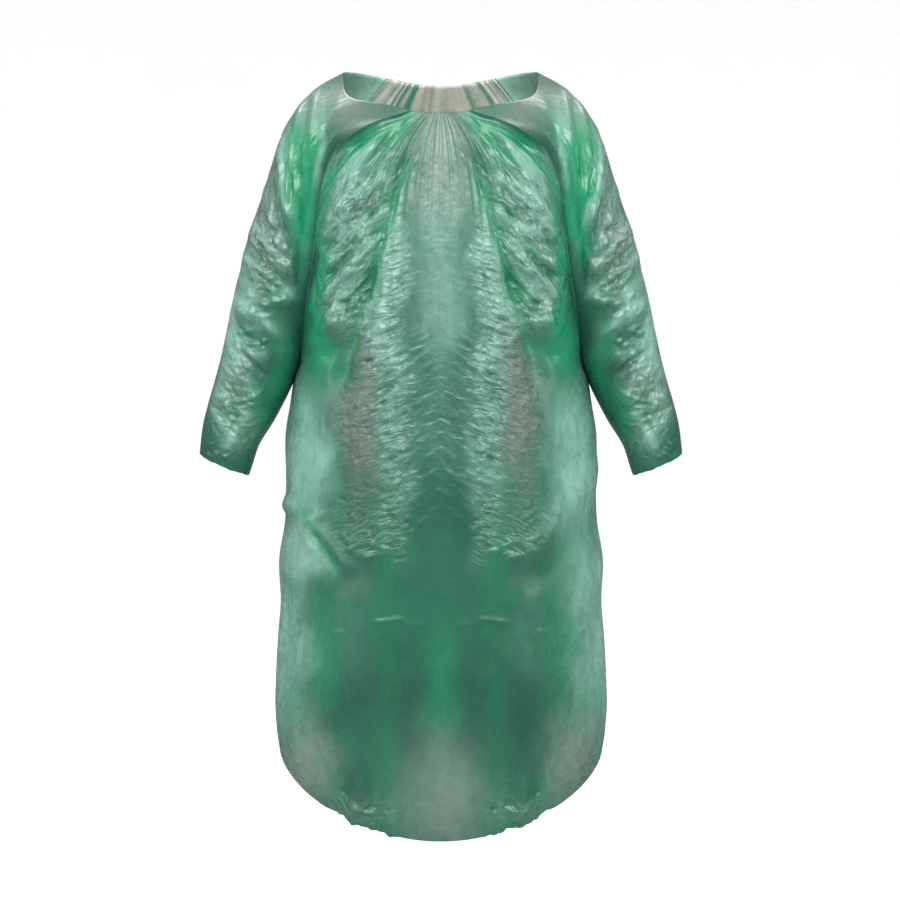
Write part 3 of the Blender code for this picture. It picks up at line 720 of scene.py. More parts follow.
def window(rise_from, rise_to, fall_from, fall_to, value):
    """1 between the rise and the fall and 0 outside them, smooth at both."""
    return ease(rise_from, rise_to, value) * (1 - ease(fall_from, fall_to, value))


def ripple(waves, along):
    """A sum of sine waves."""
    return sum(wave.share * np.sin(along * wave.turns + wave.start) for wave in waves)


def levels_of(stretches):
    """The level of each row of a fine grid."""
    levels, start = [np.zeros(1)], 0
    for stretch in stretches:
        levels.append(start + (stretch.level - start) * np.arange(1, stretch.rows + 1) / stretch.rows)
        start = stretch.level
    return np.concatenate(levels)


# Base forms, the same as those of the solids
def panel_points(rows, levels, shares):
    """The points of the front or back; shares run from -1 at the left seam over 0 to 1 at the right one."""
    row = type(rows[0])(*(column[:, None] for column in table_at(rows, levels)))
    side = np.copysign(1.0, shares)
    seam_x = row.seam_x * side
    middle = places(0 * seam_x, row.middle_y, row.middle_z)
    out = places(seam_x * FLAT_MIDDLE, row.middle_y, row.middle_z)
    seam = places(seam_x, row.seam_y, row.seam_z)
    drop = (row.middle_z - row.seam_z) * HEM_RISE
    pull = seam + places(row.pull_x * side, row.pull_y, drop)
    return bezier(middle, out, pull, seam, np.abs(shares)[None, :, None])


def seam_line(rows, levels, side):
    """The points of a panel's seam at the given levels."""
    row = table_at(rows, levels)
    return places(row.seam_x * side, row.seam_y, row.seam_z)


def inner_ends(levels, seam_rows, side):
    """Where a sleeve's half rows end: on the underside line and, above the underarm, on a body seam."""
    under = table_at(UNDERSIDE, np.minimum(levels, UNDERARM))
    low = places(under.inner_x * side, 0, under.inner_z)
    high = seam_line(seam_rows, np.maximum(levels, UNDERARM), side)
    return np.where((levels <= UNDERARM)[:, None], low, high)[:, None]


def sleeve_points(levels, shares, side):
    """A sleeve's points; shares run from 0 at the front seam over 0.5 on the outer edge to 1 behind."""
    row = table_at(SLEEVE, levels)
    outer = places(row.outer_x * side, row.outer_y, row.outer_z)[:, None]
    front_reach = outer + places(0, -row.front_reach, -row.front_drop)[:, None]
    back_reach = outer + places(0, row.back_reach, -row.back_drop)[:, None]
    front, back = inner_ends(levels, FRONT, side), inner_ends(levels, BACK, side)
    front_pull = front + places(row.front_pull_x * side, row.front_pull_y, row.front_pull_z)[:, None]
    back_pull = back + places(row.back_pull_x * side, row.back_pull_y, row.back_pull_z)[:, None]
    t = shares[None, :, None] * 2
    return np.where(
        t <= 1,
        bezier(front, front_pull, front_reach, outer, np.minimum(t, 1)),
        bezier(back, back_pull, back_reach, outer, np.minimum(2 - t, 1)),
    )


# One piece of cloth as a fine grid
class Cloth:
    """A piece's points, the places on it, and what its folds and its film are like at each point."""

    def __init__(self, name, points, facing, closed_rows=0):
        self.name = name
        self.points = points
        self.facing = facing
        self.closed_rows = closed_rows
        self.normals = self.outward()
        steps = np.linalg.norm(np.diff(points, axis=1), axis=-1)
        run = np.concatenate([np.zeros((len(points), 1)), np.cumsum(steps, axis=1)], axis=1)
        self.across = run - run[:, [points.shape[1] // 2]]
        self.column_step = np.gradient(run, axis=1)
        self.heights = np.zeros(points.shape[:2])
        self.film = {kind: np.zeros(points.shape[:2]) for kind in (*PAINTED_LIGHTS, *RELIEFS)}

    def outward(self):
        """The outward direction at each point; the two ends of a closed row share theirs."""
        sideways, upward = np.gradient(self.points, axis=1), np.gradient(self.points, axis=0)
        normals = np.cross(sideways, upward) * self.facing
        closed = slice(0, self.closed_rows)
        normals[closed, 0] = normals[closed, -1] = normals[closed, 0] + normals[closed, -1]
        return normals / np.linalg.norm(normals, axis=-1, keepdims=True)

    def find(self, x, z, columns):
        """The place on the cloth, across and up, of a point seen from the front."""
        seen = self.points[:, columns]
        near = np.argmin((seen[..., 0] - x) ** 2 + (seen[..., 2] - z) ** 2)
        row, column = np.unravel_index(near, seen.shape[:2])
        return self.across[:, columns][row, column], seen[row, column, 2]


# Heights of folds
def add_creases(cloth, creases, fade, sharp):
    """Raises single creases, with round crests or sharp ones, at places seen from the front."""
    x, z = cloth.points[..., 0], cloth.points[..., 2]
    for c in creases:
        run_x, run_z = c.foot_x - c.top_x, c.foot_z - c.top_z
        length = math.hypot(run_x, run_z)
        place_x, place_z = np.abs(x) - c.top_x, z - c.top_z
        along = (place_x * run_x + place_z * run_z) / length**2
        across = np.abs(place_x * run_z - place_z * run_x) / length
        past = np.maximum(np.maximum(-along, along - 1), 0) / CREASE_END
        flank = np.hypot(across / c.width, SHARP_ROUNDING) if sharp else (across / c.width) ** 2
        shape = np.exp(-flank) * np.exp(-(past**2)) * fade * np.where(x * c.side < 0, 0, 1)
        cloth.heights += c.height * shape
        # Painted light: sheen on a raised sharp crease, valley green in a sunk sharp crease and in a trough
        # fold
        painted_share = min(abs(c.height) / TINTED_HEIGHT, 1) * shape
        if sharp and c.width > UNTINTED_WIDTH:
            cloth.film["milky" if c.height > 0 else "deep"] += LINE_PAINTED_LIGHT * painted_share
        elif c.height < 0 and not sharp:
            cloth.film["deep"] += FOLD_PAINTED_VALLEY * painted_share


def add_gathers(cloth, levels, shares, rows, count):
    """Raises a panel's gathers, which close up towards the neck, with finer ones between them."""
    row = table_at(rows, np.maximum(levels, rows[0].level))
    turn = (shares + 1) / 2 * count
    drift = FINE_DRIFT * np.sin(turn * FINE_DRIFT_TURN)
    wave = np.cos(2 * np.pi * turn)
    fine = np.abs(np.sin(np.pi * (turn * FINE_TO_A_GATHER + drift))) * 2 - 1
    uneven = 1 - UNEVEN_SHARE + UNEVEN_SHARE * np.sin(UNEVEN_TURN * turn)
    height = row.height[:, None] * (wave * uneven)[None] - row.fine[:, None] * fine[None]
    quarter = cloth.column_step * cloth.points.shape[1] / count / 4
    most = quarter * STEEPEST_GATHER
    from_middle = np.abs(shares)
    ebb = 1 - GATHER_EBB * ease(GATHER_EBB_FROM, GATHER_EBB_TO, from_middle)
    fade = ease(0, GATHER_FADE, 1 - from_middle) * ebb
    cloth.heights += np.clip(height, -most, most) * fade[None]


def add_pleats(cloth, levels, shares):
    """Raises a sleeve's shoulder pleats, which run down from near the neck to the upper arm."""
    inward = np.minimum(shares, 1 - shares)
    fade = window(*PLEAT_LEVELS, levels)
    from_start = ease(PLEAT_START - PLEAT_SOFTNESS, PLEAT_START + PLEAT_SOFTNESS, inward)
    shape = np.cos(2 * np.pi * PLEATS_ACROSS * inward) * from_start
    cloth.heights += PLEAT_HEIGHT * fade[:, None] * shape[None]


def add_neck_pleats(cloth, levels, seed):
    """Closes the film up at the neck into narrow uneven pleats, with a painted highlight on the raised ones
    and painted valley green on the sunk ones.
    """
    columns = cloth.points.shape[1]
    rng = np.random.default_rng(seed)
    stops = np.cumsum(rng.uniform(*NECK_PLEAT_WIDTHS, columns) * NECK_PLEAT_COLUMNS)
    rise = np.interp(np.arange(columns), stops, rng.normal(0, NECK_PLEAT_SPREAD, columns))[None]
    near = ease(NECK_PLEATS_FROM, NECK_PLEATS_FULL, levels)[:, None]
    cloth.heights += NECK_PLEAT_HEIGHT * near * rise
    # Painted highlight on the raised pleats and painted valley green on the sunk ones
    cloth.film["pale"] += NECK_PLEAT_PAINTED_LIGHT * near * rise
    cloth.film["deep"] += NECK_PLEAT_PAINTED_LIGHT * near * ease(*NECK_PLEAT_GREEN, -rise)


def add_short_crease(cloth, place, direction, length, width, height, bend, fade):
    """Raises one short crease with a sharp crest, uneven flanks and ends that run out."""
    sideways = cloth.across - place[0]
    upward = cloth.points[..., 2] - place[1]
    near = (np.abs(sideways) < length / 2 + width) & (np.abs(upward) < length / 2 + width)
    sideways, upward = sideways[near], upward[near]
    along = (sideways * direction[0] + upward * direction[1]) / (length / 2)
    aside = (upward * direction[0] - sideways * direction[1]) - bend * (1 - along**2)
    flank = np.where(aside > 0, width, width * STEEP_FLANK)
    crest = np.maximum(1 - np.hypot(aside / flank, CREST_ROUNDING), 0)
    ends = np.maximum(1 - along**2, 0)
    cloth.heights[near] += height * crest * ends * fade[near]


def add_bunches(cloth, bunches, halves, seed, fade):
    """Scatters the short creases of each bunch; a half is its columns, side of x and outward way."""
    rng = np.random.default_rng(seed)
    for b in (bunch for bunch in bunches for _ in range(bunch.count)):
        turn, reach = rng.uniform(0, 2 * np.pi), math.sqrt(rng.uniform())
        x = abs(b.x + b.half_width * reach * math.cos(turn))
        z = b.z + b.half_height * reach * math.sin(turn)
        slant = math.radians(b.slant + b.spread * rng.normal())
        length = b.length * rng.uniform(*LENGTH_RANGE)
        width = b.width * rng.uniform(*WIDTH_RANGE)
        height = b.height * rng.uniform(*HEIGHT_RANGE) * (1 if rng.uniform() < UP_SHARE else -1)
        bend = length * rng.uniform(*BEND_RANGE)
        for columns, side, outward in halves:
            shift = rng.normal(0, MIRROR_SHIFT, 2)
            place = cloth.find(x * side + shift[0], z + shift[1], columns)
            direction = (math.cos(slant) * outward, -math.sin(slant))
            own = height * rng.uniform(*TWIN_RANGE)
            add_short_crease(cloth, place, direction, length, width, own, bend * outward, fade)


def facet_field(across, upward, facets):
    """The distance to the nearest of many scattered points: hollows with sharp ridges between."""
    rng = np.random.default_rng(facets.seed)
    scatter = rng.random((FACET_GRID, FACET_GRID, 2))
    turn = math.radians(facets.turn)
    a = (across * math.cos(turn) + upward * math.sin(turn)) / facets.size
    b = (upward * math.cos(turn) - across * math.sin(turn)) / facets.size * facets.stretch
    i, j = np.floor(a).astype(int), np.floor(b).astype(int)
    nearest = np.full(a.shape, 2.0)
    for step_i in (-1, 0, 1):
        for step_j in (-1, 0, 1):
            place = scatter[(i + step_i) % FACET_GRID, (j + step_j) % FACET_GRID]
            away = np.hypot(a - i - step_i - place[..., 0], b - j - step_j - place[..., 1])
            nearest = np.minimum(nearest, away)
    return nearest - FACET_MEAN


def add_facets(cloth, depth, fade):
    """Crumples the film into facets, as deep as the film is crumpled there."""
    upward = cloth.points[..., 2]
    field = sum(f.share * facet_field(cloth.across, upward, f) for f in FACETS)
    cloth.heights += field * depth * cloth.film["crumple"] ** FACET_POWER * fade


def wander(points, seed):
    """A smooth uneven shift for each point, in metres."""
    rng = np.random.default_rng(seed)
    shift = np.zeros(points.shape[:2])
    for length in WANDER_LENGTHS:
        way = rng.normal(size=3)
        turn = points @ (way / np.linalg.norm(way)) * 2 * np.pi / length
        shift += np.sin(turn + rng.uniform(0, 2 * np.pi)) * length * WANDER_SHARE
    return shift


def add_patches(cloth, patches):
    """Sets how crumpled and ridged the film is and how much painted light it has, from soft patches with
    uneven edges.
    """
    x, z = cloth.points[..., 0], cloth.points[..., 2]
    seen_x = np.abs(x) + wander(cloth.points, WANDER_SEED_X)
    seen_z = z + wander(cloth.points, WANDER_SEED_Z)
    cloth.film["crumple"] += PLAIN_CRUMPLE
    for p in patches:
        apart = ((seen_x - p.x) / p.half_width) ** 2 + ((seen_z - p.z) / p.half_height) ** 2
        soft = np.exp(-(apart**PATCH_EDGE)) * np.where(x * p.side < 0, 0, 1)
        for kind in PATCH_KINDS:
            cloth.film[kind] += soft * getattr(p, kind)
    for kind, value in cloth.film.items():
        cloth.film[kind] = np.clip(value, 0, 1)


def rag_hem(cloth):
    """Steps the hem up and down a little where the photographed one is crumpled."""
    x, z = np.abs(cloth.points[..., 0]), cloth.points[..., 2]
    near = np.exp(-(((z - z[0]) / HEM_RAG_REACH) ** 2))
    step = HEM_RAG_DEPTH * ripple(HEM_WAVES, cloth.across)
    cloth.points[..., 2] += step * window(*HEM_RAG_PLACES, x) * near


def drop_cuff(cloth, levels, shares):
    """Lets the cuff hang lower on the inner side of the arm, with a slightly uneven edge."""
    inner = np.abs(2 * shares - 1)[None] ** CUFF_POWER
    uneven = ripple(CUFF_WAVES, shares)[None]
    near = 1 - ease(0, CUFF_REACH, levels)[:, None]
    cloth.points[..., 2] -= (CUFF_DROP * inner + CUFF_RAG * uneven * (1 - inner) * inner * 4) * near


# Shells
def lowest_near(heights):
    """The least height at each point and its eight neighbours."""
    padded = np.pad(heights, 1, mode="edge")
    rows, columns = heights.shape
    return np.min([padded[i:i + rows, j:j + columns] for i in range(3) for j in range(3)], axis=0)


def grid_index(rows, columns, closed_rows, start):
    """The number of each point of a grid, with a closed row's last point the same as its first."""
    index = np.zeros((rows, columns), int)
    for r in range(rows):
        width = columns - 1 if r < closed_rows else columns
        index[r, :width] = np.arange(start, start + width)
        if r < closed_rows:
            index[r, -1] = index[r, 0]
        start += width
    return index, start


def rim_loops(index, closed_rows):
    """The numbers of the points round a grid's open edges, one list for each loop."""
    top, right, left = index[-1, ::-1], index[max(closed_rows - 1, 0):, -1], index[::-1, 0]
    if closed_rows:
        upper = np.concatenate([right[:-1], top[:-1], left[: len(index) - closed_rows + 1]])
        return [index[0], upper]
    return [np.concatenate([index[0, :-1], right[:-1], top[:-1], left])]


def shell_mesh(cloth, wall):
    """A closed thin shell: the fine outer side, and an inner side with half as many rows and columns."""
    inner_heights = lowest_near(cloth.heights)[::2, ::2] - wall
    outer = cloth.points + cloth.normals * cloth.heights[..., None]
    inner = cloth.points[::2, ::2] + cloth.normals[::2, ::2] * inner_heights[..., None]
    closed_inner = (cloth.closed_rows + 1) // 2
    outer_index, count = grid_index(*outer.shape[:2], cloth.closed_rows, 0)
    inner_index, count = grid_index(*inner.shape[:2], closed_inner, count)
    points = np.zeros((count, 3))
    points[outer_index], points[inner_index] = outer, inner
    faces = []
    for index, turned in ((outer_index, 1), (inner_index, -1)):
        quads = np.stack([index[:-1, :-1], index[:-1, 1:], index[1:, 1:], index[1:, :-1]], axis=-1)
        faces += quads.reshape(-1, 4)[:, ::turned].tolist()
    walls = len(faces)
    for out, into in zip(rim_loops(outer_index, cloth.closed_rows), rim_loops(inner_index, closed_inner)):
        for k in range(len(into) - 1):
            a, middle, b = out[2 * k], out[2 * k + 1], out[2 * k + 2]
            faces.append([int(b), int(middle), int(a), int(into[k]), int(into[k + 1])])
    if cloth.facing < 0:
        faces = [face[::-1] for face in faces]
    mesh = bpy.data.meshes.new(cloth.name)
    mesh.from_pydata(points.tolist(), [], faces)
    # The inner side near the neck gets painted light: painted sheen and the piece's painted light colour
    inside_neck = ease(NECK_LOW, NECK_HIGH, cloth.points[::2, ::2, 2])
    for name, kinds in (("film_look", PAINTED_LIGHTS), ("film_relief", RELIEFS)):
        values = np.ones((count, 4), np.float32)
        for i, kind in enumerate(kinds):
            painted_light = NECK_PAINTED_LIGHT.get(kind, 0) * inside_neck
            values[outer_index, i] = np.clip(cloth.film[kind], 0, 1)
            values[inner_index, i] = np.clip(cloth.film[kind][::2, ::2] + painted_light, 0, 1)
        mesh.attributes.new(name, "FLOAT_COLOR", "POINT").data.foreach_set("color", values.ravel())
    mesh.shade_smooth()
    for rim in mesh.polygons[walls:]:
        rim.use_smooth = False
    return mesh


def put(name, data):
    """A new object in the scene."""
    made = bpy.data.objects.new(name, data)
    bpy.context.scene.collection.objects.link(made)
    return made


def film_piece(cloth, wall, material):
    """Makes the finished piece of film."""
    put(cloth.name, shell_mesh(cloth, wall)).data.materials.append(material)


def make_panel(panel, settings):
    """The front or the back panel."""
    levels = levels_of(panel.stretches)
    shares = np.linspace(-1, 1, panel.columns + 1)
    cloth = Cloth(panel.name, panel_points(panel.rows, levels, shares), panel.facing)
    from_seam = 1 - np.abs(shares)[None]
    fade = ease(0, SEAM_FADE, from_seam) * np.ones((len(levels), 1))
    add_patches(cloth, panel.patches)
    add_creases(cloth, panel.creases, fade, False)
    add_creases(cloth, panel.lines, fade * settings.line_share, True)
    add_gathers(cloth, levels, shares, panel.gathers, panel.gather_count)
    if panel.facing < 0:
        add_neck_pleats(cloth, levels, settings.seed)
    # Painted highlight: a light strip along the armhole seam, for the light edge of the fold there
    armhole = window(*SEAM_PAINTED_HIGHLIGHT_LEVELS, levels)[:, None]
    cloth.film["pale"] += SEAM_PAINTED_HIGHLIGHT * armhole * (1 - ease(0, SEAM_PAINTED_HIGHLIGHT_WIDTH, from_seam))
    middle = panel.columns // 2
    halves = ((slice(middle, None), 1, 1), (slice(0, middle), -1, -1))
    add_bunches(cloth, panel.bunches, halves, settings.seed + panel.seed, fade * settings.crease_share)
    add_facets(cloth, settings.facet_depth, fade)
    rag_hem(cloth)
    return cloth


def make_sleeve(name, side, settings):
    """One sleeve: closed rings up to the underarm, and open rows from there to the neck."""
    levels = levels_of(SLEEVE_STRETCHES)
    shares = np.linspace(0, 1, SLEEVE_COLUMNS + 1)
    closed_rows = SLEEVE_STRETCHES[0].rows + 1
    cloth = Cloth(name, sleeve_points(levels, shares, side), side, closed_rows)
    from_seam = np.minimum(shares, 1 - shares)[None]
    seam_fade = ease(0, SEAM_FADE, from_seam) * np.ones((len(levels), 1))
    fade = np.where((levels < UNDERARM)[:, None], 1, seam_fade)
    edge = np.exp(-(((shares - 0.5) / SMOOTH_STRIP) ** 2))[None]
    outer = edge * (1 - ease(SMOOTH_END_FROM, SMOOTH_END_TO, levels))[:, None]
    strip_fade = seam_fade * (1 - SMOOTH_SHARE * outer)
    line_fade = fade * (1 - SMOOTH_SHARE * edge) * settings.line_share
    drop_cuff(cloth, levels, shares)
    add_patches(cloth, SLEEVE_PATCHES)
    add_creases(cloth, SLEEVE_CREASES, fade * (1 - SMOOTH_CREASE_SHARE * outer), False)
    add_creases(cloth, SLEEVE_LINES, line_fade, True)
    add_pleats(cloth, levels, shares)
    middle = SLEEVE_COLUMNS // 2
    halves = ((slice(0, middle), side, 1), (slice(middle, None), side, -1))
    seed = settings.seed + SLEEVE_SEED
    add_bunches(cloth, SLEEVE_BUNCHES, halves, seed, strip_fade * settings.crease_share)
    add_facets(cloth, settings.facet_depth, strip_fade)
    return cloth


# Materials
class Nodes:
    """A short way to write a node tree: a node gets its values and links in order or by name."""

    def __init__(self, tree):
        self.tree = tree
        tree.nodes.clear()

    def add(self, kind, *inputs, named=None, **settings):
        """A new node."""
        node = self.tree.nodes.new(kind)
        for key, value in settings.items():
            setattr(node, key, value)
        by_name = [(node.inputs[key], value) for key, value in (named or {}).items()]
        for socket, value in [*zip(node.inputs, inputs), *by_name]:
            self.give(socket, value)
        return node

    def give(self, socket, value):
        """Links a socket or sets its value."""
        if isinstance(value, bpy.types.NodeSocket):
            self.tree.links.new(value, socket)
        else:
            socket.default_value = value

    def math(self, operation, *values, **settings):
        """The result of a sum on numbers."""
        return self.add("ShaderNodeMath", *values, operation=operation, **settings).outputs[0]

    def times(self, *values):
        """Two numbers multiplied."""
        return self.math("MULTIPLY", *values)

    def plus(self, *values):
        """Two numbers added."""
        return self.math("ADD", *values)

    def minus(self, *values, **settings):
        """The second number taken from the first."""
        return self.math("SUBTRACT", *values, **settings)

    def vector(self, operation, *values, **settings):
        """The result of a sum on places."""
        return self.add("ShaderNodeVectorMath", *values, operation=operation, **settings).outputs[0]

    def noise(self, place, scale, detail):
        """Soft clouds, as a number and as a colour."""
        named = {"Vector": place, "Scale": scale, "Detail": detail}
        return self.add("ShaderNodeTexNoise", named=named).outputs

    def cells(self, place, scale):
        """The distance to the nearest of many scattered points."""
        return self.add("ShaderNodeTexVoronoi", named={"Vector": place, "Scale": scale}).outputs["Distance"]

    def spread(self, value, low, high):
        """A value from 0 to 1 as one from low to high."""
        named = {"Value": value, "To Min": low, "To Max": high}
        return self.add("ShaderNodeMapRange", named=named).outputs[0]

    def blend(self, share, low, high):
        """One colour over another."""
        node = self.add("ShaderNodeMix", data_type="RGBA")
        for name, value in (("Factor", share), ("A", low), ("B", high)):
            self.give(next(s for s in node.inputs if s.name == name and s.enabled), value)
        return next(s for s in node.outputs if s.enabled)

    def shader(self, kind, **named):
        """A shader, with underscores in place of the spaces in its sockets' names."""
        spaced = {key.replace("_", " "): value for key, value in named.items()}
        return self.add(kind, named=spaced).outputs[0]


def rgba(colour, shade=1.0):
    """A colour, made darker or lighter, with full alpha for a node's socket."""
    return (*(part * shade for part in colour), 1.0)


def new_material(name):
    """An empty material, its nodes, and the place on the object that its patterns read."""
    material = bpy.data.materials.new(name)
    material.use_nodes = True
    nodes = Nodes(material.node_tree)
    return material, nodes, nodes.add("ShaderNodeTexCoord").outputs["Object"]


def ridges(nodes, place, slant, along_scale, across_scale):
    """Fine sharp ridges that fall outwards by a slant, the same on both sides of the garment."""
    x, y, z = nodes.add("ShaderNodeSeparateXYZ", place).outputs
    outward = nodes.math("ABSOLUTE", x)
    turn_x, turn_z = math.cos(math.radians(slant)), math.sin(math.radians(slant))
    along = nodes.minus(nodes.times(outward, turn_x), nodes.times(z, turn_z))
    across = nodes.plus(nodes.times(outward, turn_z), nodes.times(z, turn_x))
    stretched = nodes.add(
        "ShaderNodeCombineXYZ",
        nodes.times(along, along_scale),
        nodes.times(across, across_scale),
        nodes.times(y, along_scale),
    )
    wave = nodes.noise(stretched.outputs[0], *RIDGE_NOISE)[0]
    return nodes.times(nodes.math("ABSOLUTE", nodes.minus(wave, 0.5)), RIDGE_GAIN)


def film_material(name, film, skin):
    """Thin green polyethylene film: glossy, lets some light through, with painted sheen, valley green,
    glare and light in patches.
    """
    material, nodes, place = new_material(name)
    painted_light_values = nodes.add("ShaderNodeAttribute", attribute_name="film_look").outputs
    relief = nodes.add("ShaderNodeAttribute", attribute_name="film_relief").outputs["Color"]
    patches = (*nodes.add("ShaderNodeSeparateColor", painted_light_values["Color"]).outputs, painted_light_values["Alpha"])
    cross, fall, crumple = nodes.add("ShaderNodeSeparateColor", relief).outputs

    # small places are shifted about, so that nothing runs straight
    push = nodes.vector("SUBTRACT", nodes.noise(place, *WARP_NOISE)["Color"], (0.5, 0.5, 0.5))
    warped = nodes.vector("ADD", place, nodes.vector("SCALE", push, named={"Scale": WARP_REACH}))

    # relief: ridges in two directions, and facets of two sizes where the film is crumpled
    crossing = nodes.times(ridges(nodes, warped, skin.cross_slant, CROSS_SCALE, skin.closeness), cross)
    falling = nodes.times(ridges(nodes, warped, skin.fall_slant, FALL_SCALE, skin.closeness), fall)
    coarse = nodes.times(nodes.cells(warped, COARSE_FACETS), COARSE_SHARE)
    small = nodes.times(nodes.cells(warped, SMALL_FACETS), SMALL_SHARE)
    crumpling = nodes.times(nodes.math("POWER", crumple, CRUMPLE_POWER), CRUMPLE_GAIN)
    ridged = nodes.plus(crossing, falling)
    height = nodes.plus(ridged, nodes.times(nodes.plus(coarse, small), crumpling))
    depth = {"Strength": film.bump_strength, "Distance": film.bump_depth, "Height": height}
    bump = nodes.add("ShaderNodeBump", named=depth).outputs[0]

    # colour: clouds of two greens, with streaky patches of painted sheen, valley green, glare and light
    # over them
    cloud = nodes.add("ShaderNodeMapRange", nodes.noise(warped, *CLOUD_NOISE)[0], *CLOUD_EDGES).outputs[0]
    grain = nodes.noise(warped, *GRAIN_NOISE)[0]
    streak = nodes.noise(nodes.vector("MULTIPLY", warped, STREAK_SCALES), *STREAK_NOISE)[0]
    colour = nodes.blend(cloud, rgba(film.leaf_colour, skin.shade), rgba(film.shade_colour))
    uneven = nodes.plus(nodes.spread(grain, *GRAIN_SPECKLE), nodes.spread(streak, *STREAK_SPECKLE))
    # Random speckle, and more of each painted patch on the fine ridge crests: painted light that follows
    # the relief
    speckle_and_crest_sheen = nodes.plus(uneven, nodes.times(ridged, CREST_PAINTED_SHEEN))
    painted_light_tones = (film.painted_sheen_colour, film.painted_valley_colour, film.painted_glare_colour, getattr(film, skin.inside))
    for share, painted_tone in zip(patches, painted_light_tones):
        colour = nodes.blend(nodes.math("MULTIPLY", share, speckle_and_crest_sheen, use_clamp=True), colour, rgba(painted_tone))

    surface = nodes.shader(
        "ShaderNodeBsdfPrincipled",
        Base_Color=colour,
        Roughness=nodes.spread(grain, film.roughness - SMOOTHER, film.roughness + ROUGHER),
        Normal=bump,
        IOR=FILM_IOR,
        Metallic=0.0,
        Specular_IOR_Level=film.gloss,
    )
    glow = nodes.shader("ShaderNodeBsdfTranslucent", Color=rgba(film.glow_colour), Normal=bump)
    both = nodes.add("ShaderNodeMixShader", film.glow_share, surface, glow)
    nodes.add("ShaderNodeOutputMaterial", both.outputs[0])
    return material


def weld_material(film):
    """Heat-sealed film: the same green, with a painted highlight where its fold stands up along the
    armhole.
    """
    material, nodes, place = new_material("pressed_weld")
    grain = nodes.noise(place, *WELD_NOISE)[0]
    z = nodes.add("ShaderNodeSeparateXYZ", place).outputs[2]
    # Painted highlight: the weld is painted light around one height of the armhole
    away = nodes.math("POWER", nodes.math("DIVIDE", nodes.minus(z, WELD_PAINTED_HIGHLIGHT_AT), WELD_PAINTED_HIGHLIGHT_REACH), 2.0)
    pale = nodes.times(nodes.minus(1.0, away, use_clamp=True), WELD_PAINTED_HIGHLIGHT_SHARE)
    green = nodes.blend(grain, rgba(film.leaf_colour), rgba(film.shade_colour))
    relief = {"Strength": WELD_BUMP_SHARE, "Distance": WELD_BUMP_DEPTH, "Height": grain}
    surface = nodes.shader(
        "ShaderNodeBsdfPrincipled",
        Base_Color=nodes.blend(pale, green, rgba(film.painted_sheen_colour)),
        Roughness=nodes.spread(grain, *WELD_ROUGHNESS),
        Normal=nodes.add("ShaderNodeBump", named=relief).outputs[0],
    )
    nodes.add("ShaderNodeOutputMaterial", surface)
    return material


def paper_material(backdrop):
    """A pale matt studio backdrop with a faint grain."""
    material, nodes, place = new_material("pale_backdrop")
    grain = nodes.noise(place, *PAPER_NOISE)[0]
    colour = nodes.blend(grain, rgba(backdrop, PAPER_GRAIN), rgba(backdrop))
    surface = nodes.shader("ShaderNodeBsdfPrincipled", Base_Color=colour, Roughness=PAPER_ROUGHNESS)
    nodes.add("ShaderNodeOutputMaterial", surface)
    return material


# Seam welds, by Geometry Nodes
def weld_tree():
    """A bead that follows a curve and is crimped at every second step."""
    tree = bpy.data.node_groups.new("crimped_weld", "GeometryNodeTree")
    nodes = Nodes(tree)
    sockets = (
        ("Geometry", "INPUT", "NodeSocketGeometry"),
        ("Width", "INPUT", "NodeSocketFloat"),
        ("Pitch", "INPUT", "NodeSocketFloat"),
        ("Crimp", "INPUT", "NodeSocketFloat"),
        ("Material", "INPUT", "NodeSocketMaterial"),
        ("Geometry", "OUTPUT", "NodeSocketGeometry"),
    )
    for name, way, kind in sockets:
        tree.interface.new_socket(name, in_out=way, socket_type=kind)
    given = nodes.add("NodeGroupInput").outputs
    steps = {"Curve": given["Geometry"], "Length": nodes.math("DIVIDE", given["Pitch"], 2.0)}
    line = nodes.add("GeometryNodeResampleCurve", mode="LENGTH", named=steps).outputs[0]
    odd = nodes.math("MODULO", nodes.add("GeometryNodeInputIndex").outputs[0], 2.0)
    thin = nodes.minus(1.0, nodes.times(odd, given["Crimp"]))
    radius = nodes.times(nodes.math("DIVIDE", given["Width"], 2.0), thin)
    round_one = {"Resolution": WELD_SIDES, "Radius": 1.0}
    ring = nodes.add("GeometryNodeCurvePrimitiveCircle", named=round_one).outputs[0]
    bead = {"Curve": line, "Profile Curve": ring, "Scale": radius, "Fill Caps": True}
    tube = nodes.add("GeometryNodeCurveToMesh", named=bead).outputs[0]
    whole = nodes.add("GeometryNodeRealizeInstances", tube).outputs[0]
    done = nodes.add("GeometryNodeSetMaterial", whole, named={"Material": given["Material"]})
    nodes.add("NodeGroupOutput", done.outputs[0])
    return tree


def line_object(name, lines):
    """A curve object with one open line for each list of points."""
    curve = bpy.data.curves.new(name, "CURVE")
    curve.dimensions = "3D"
    for line in lines:
        spline = curve.splines.new("POLY")
        spline.points.add(len(line) - 1)
        spline.points.foreach_set("co", np.column_stack([line, np.ones(len(line))]).ravel())
    return put(name, curve)


def weld_piece(name, lines, tree, settings, material):
    """Makes the welds along the given lines, as one plain mesh."""
    guide = line_object(name + "_line", lines)
    modifier = guide.modifiers.new("weld", "NODES")
    modifier.node_group = tree
    values = {
        "Width": settings.width,
        "Pitch": settings.pitch,
        "Crimp": settings.crimp,
        "Material": material,
    }
    for item in tree.interface.items_tree:
        if item.in_out == "INPUT" and item.name in values:
            modifier[item.identifier] = values[item.name]
    bpy.context.view_layer.update()
    graph = bpy.context.evaluated_depsgraph_get()
    mesh = bpy.data.meshes.new_from_object(guide.evaluated_get(graph))
    mesh.name = name
    mesh.shade_smooth()
    bpy.data.objects.remove(guide)
    put(name, mesh)


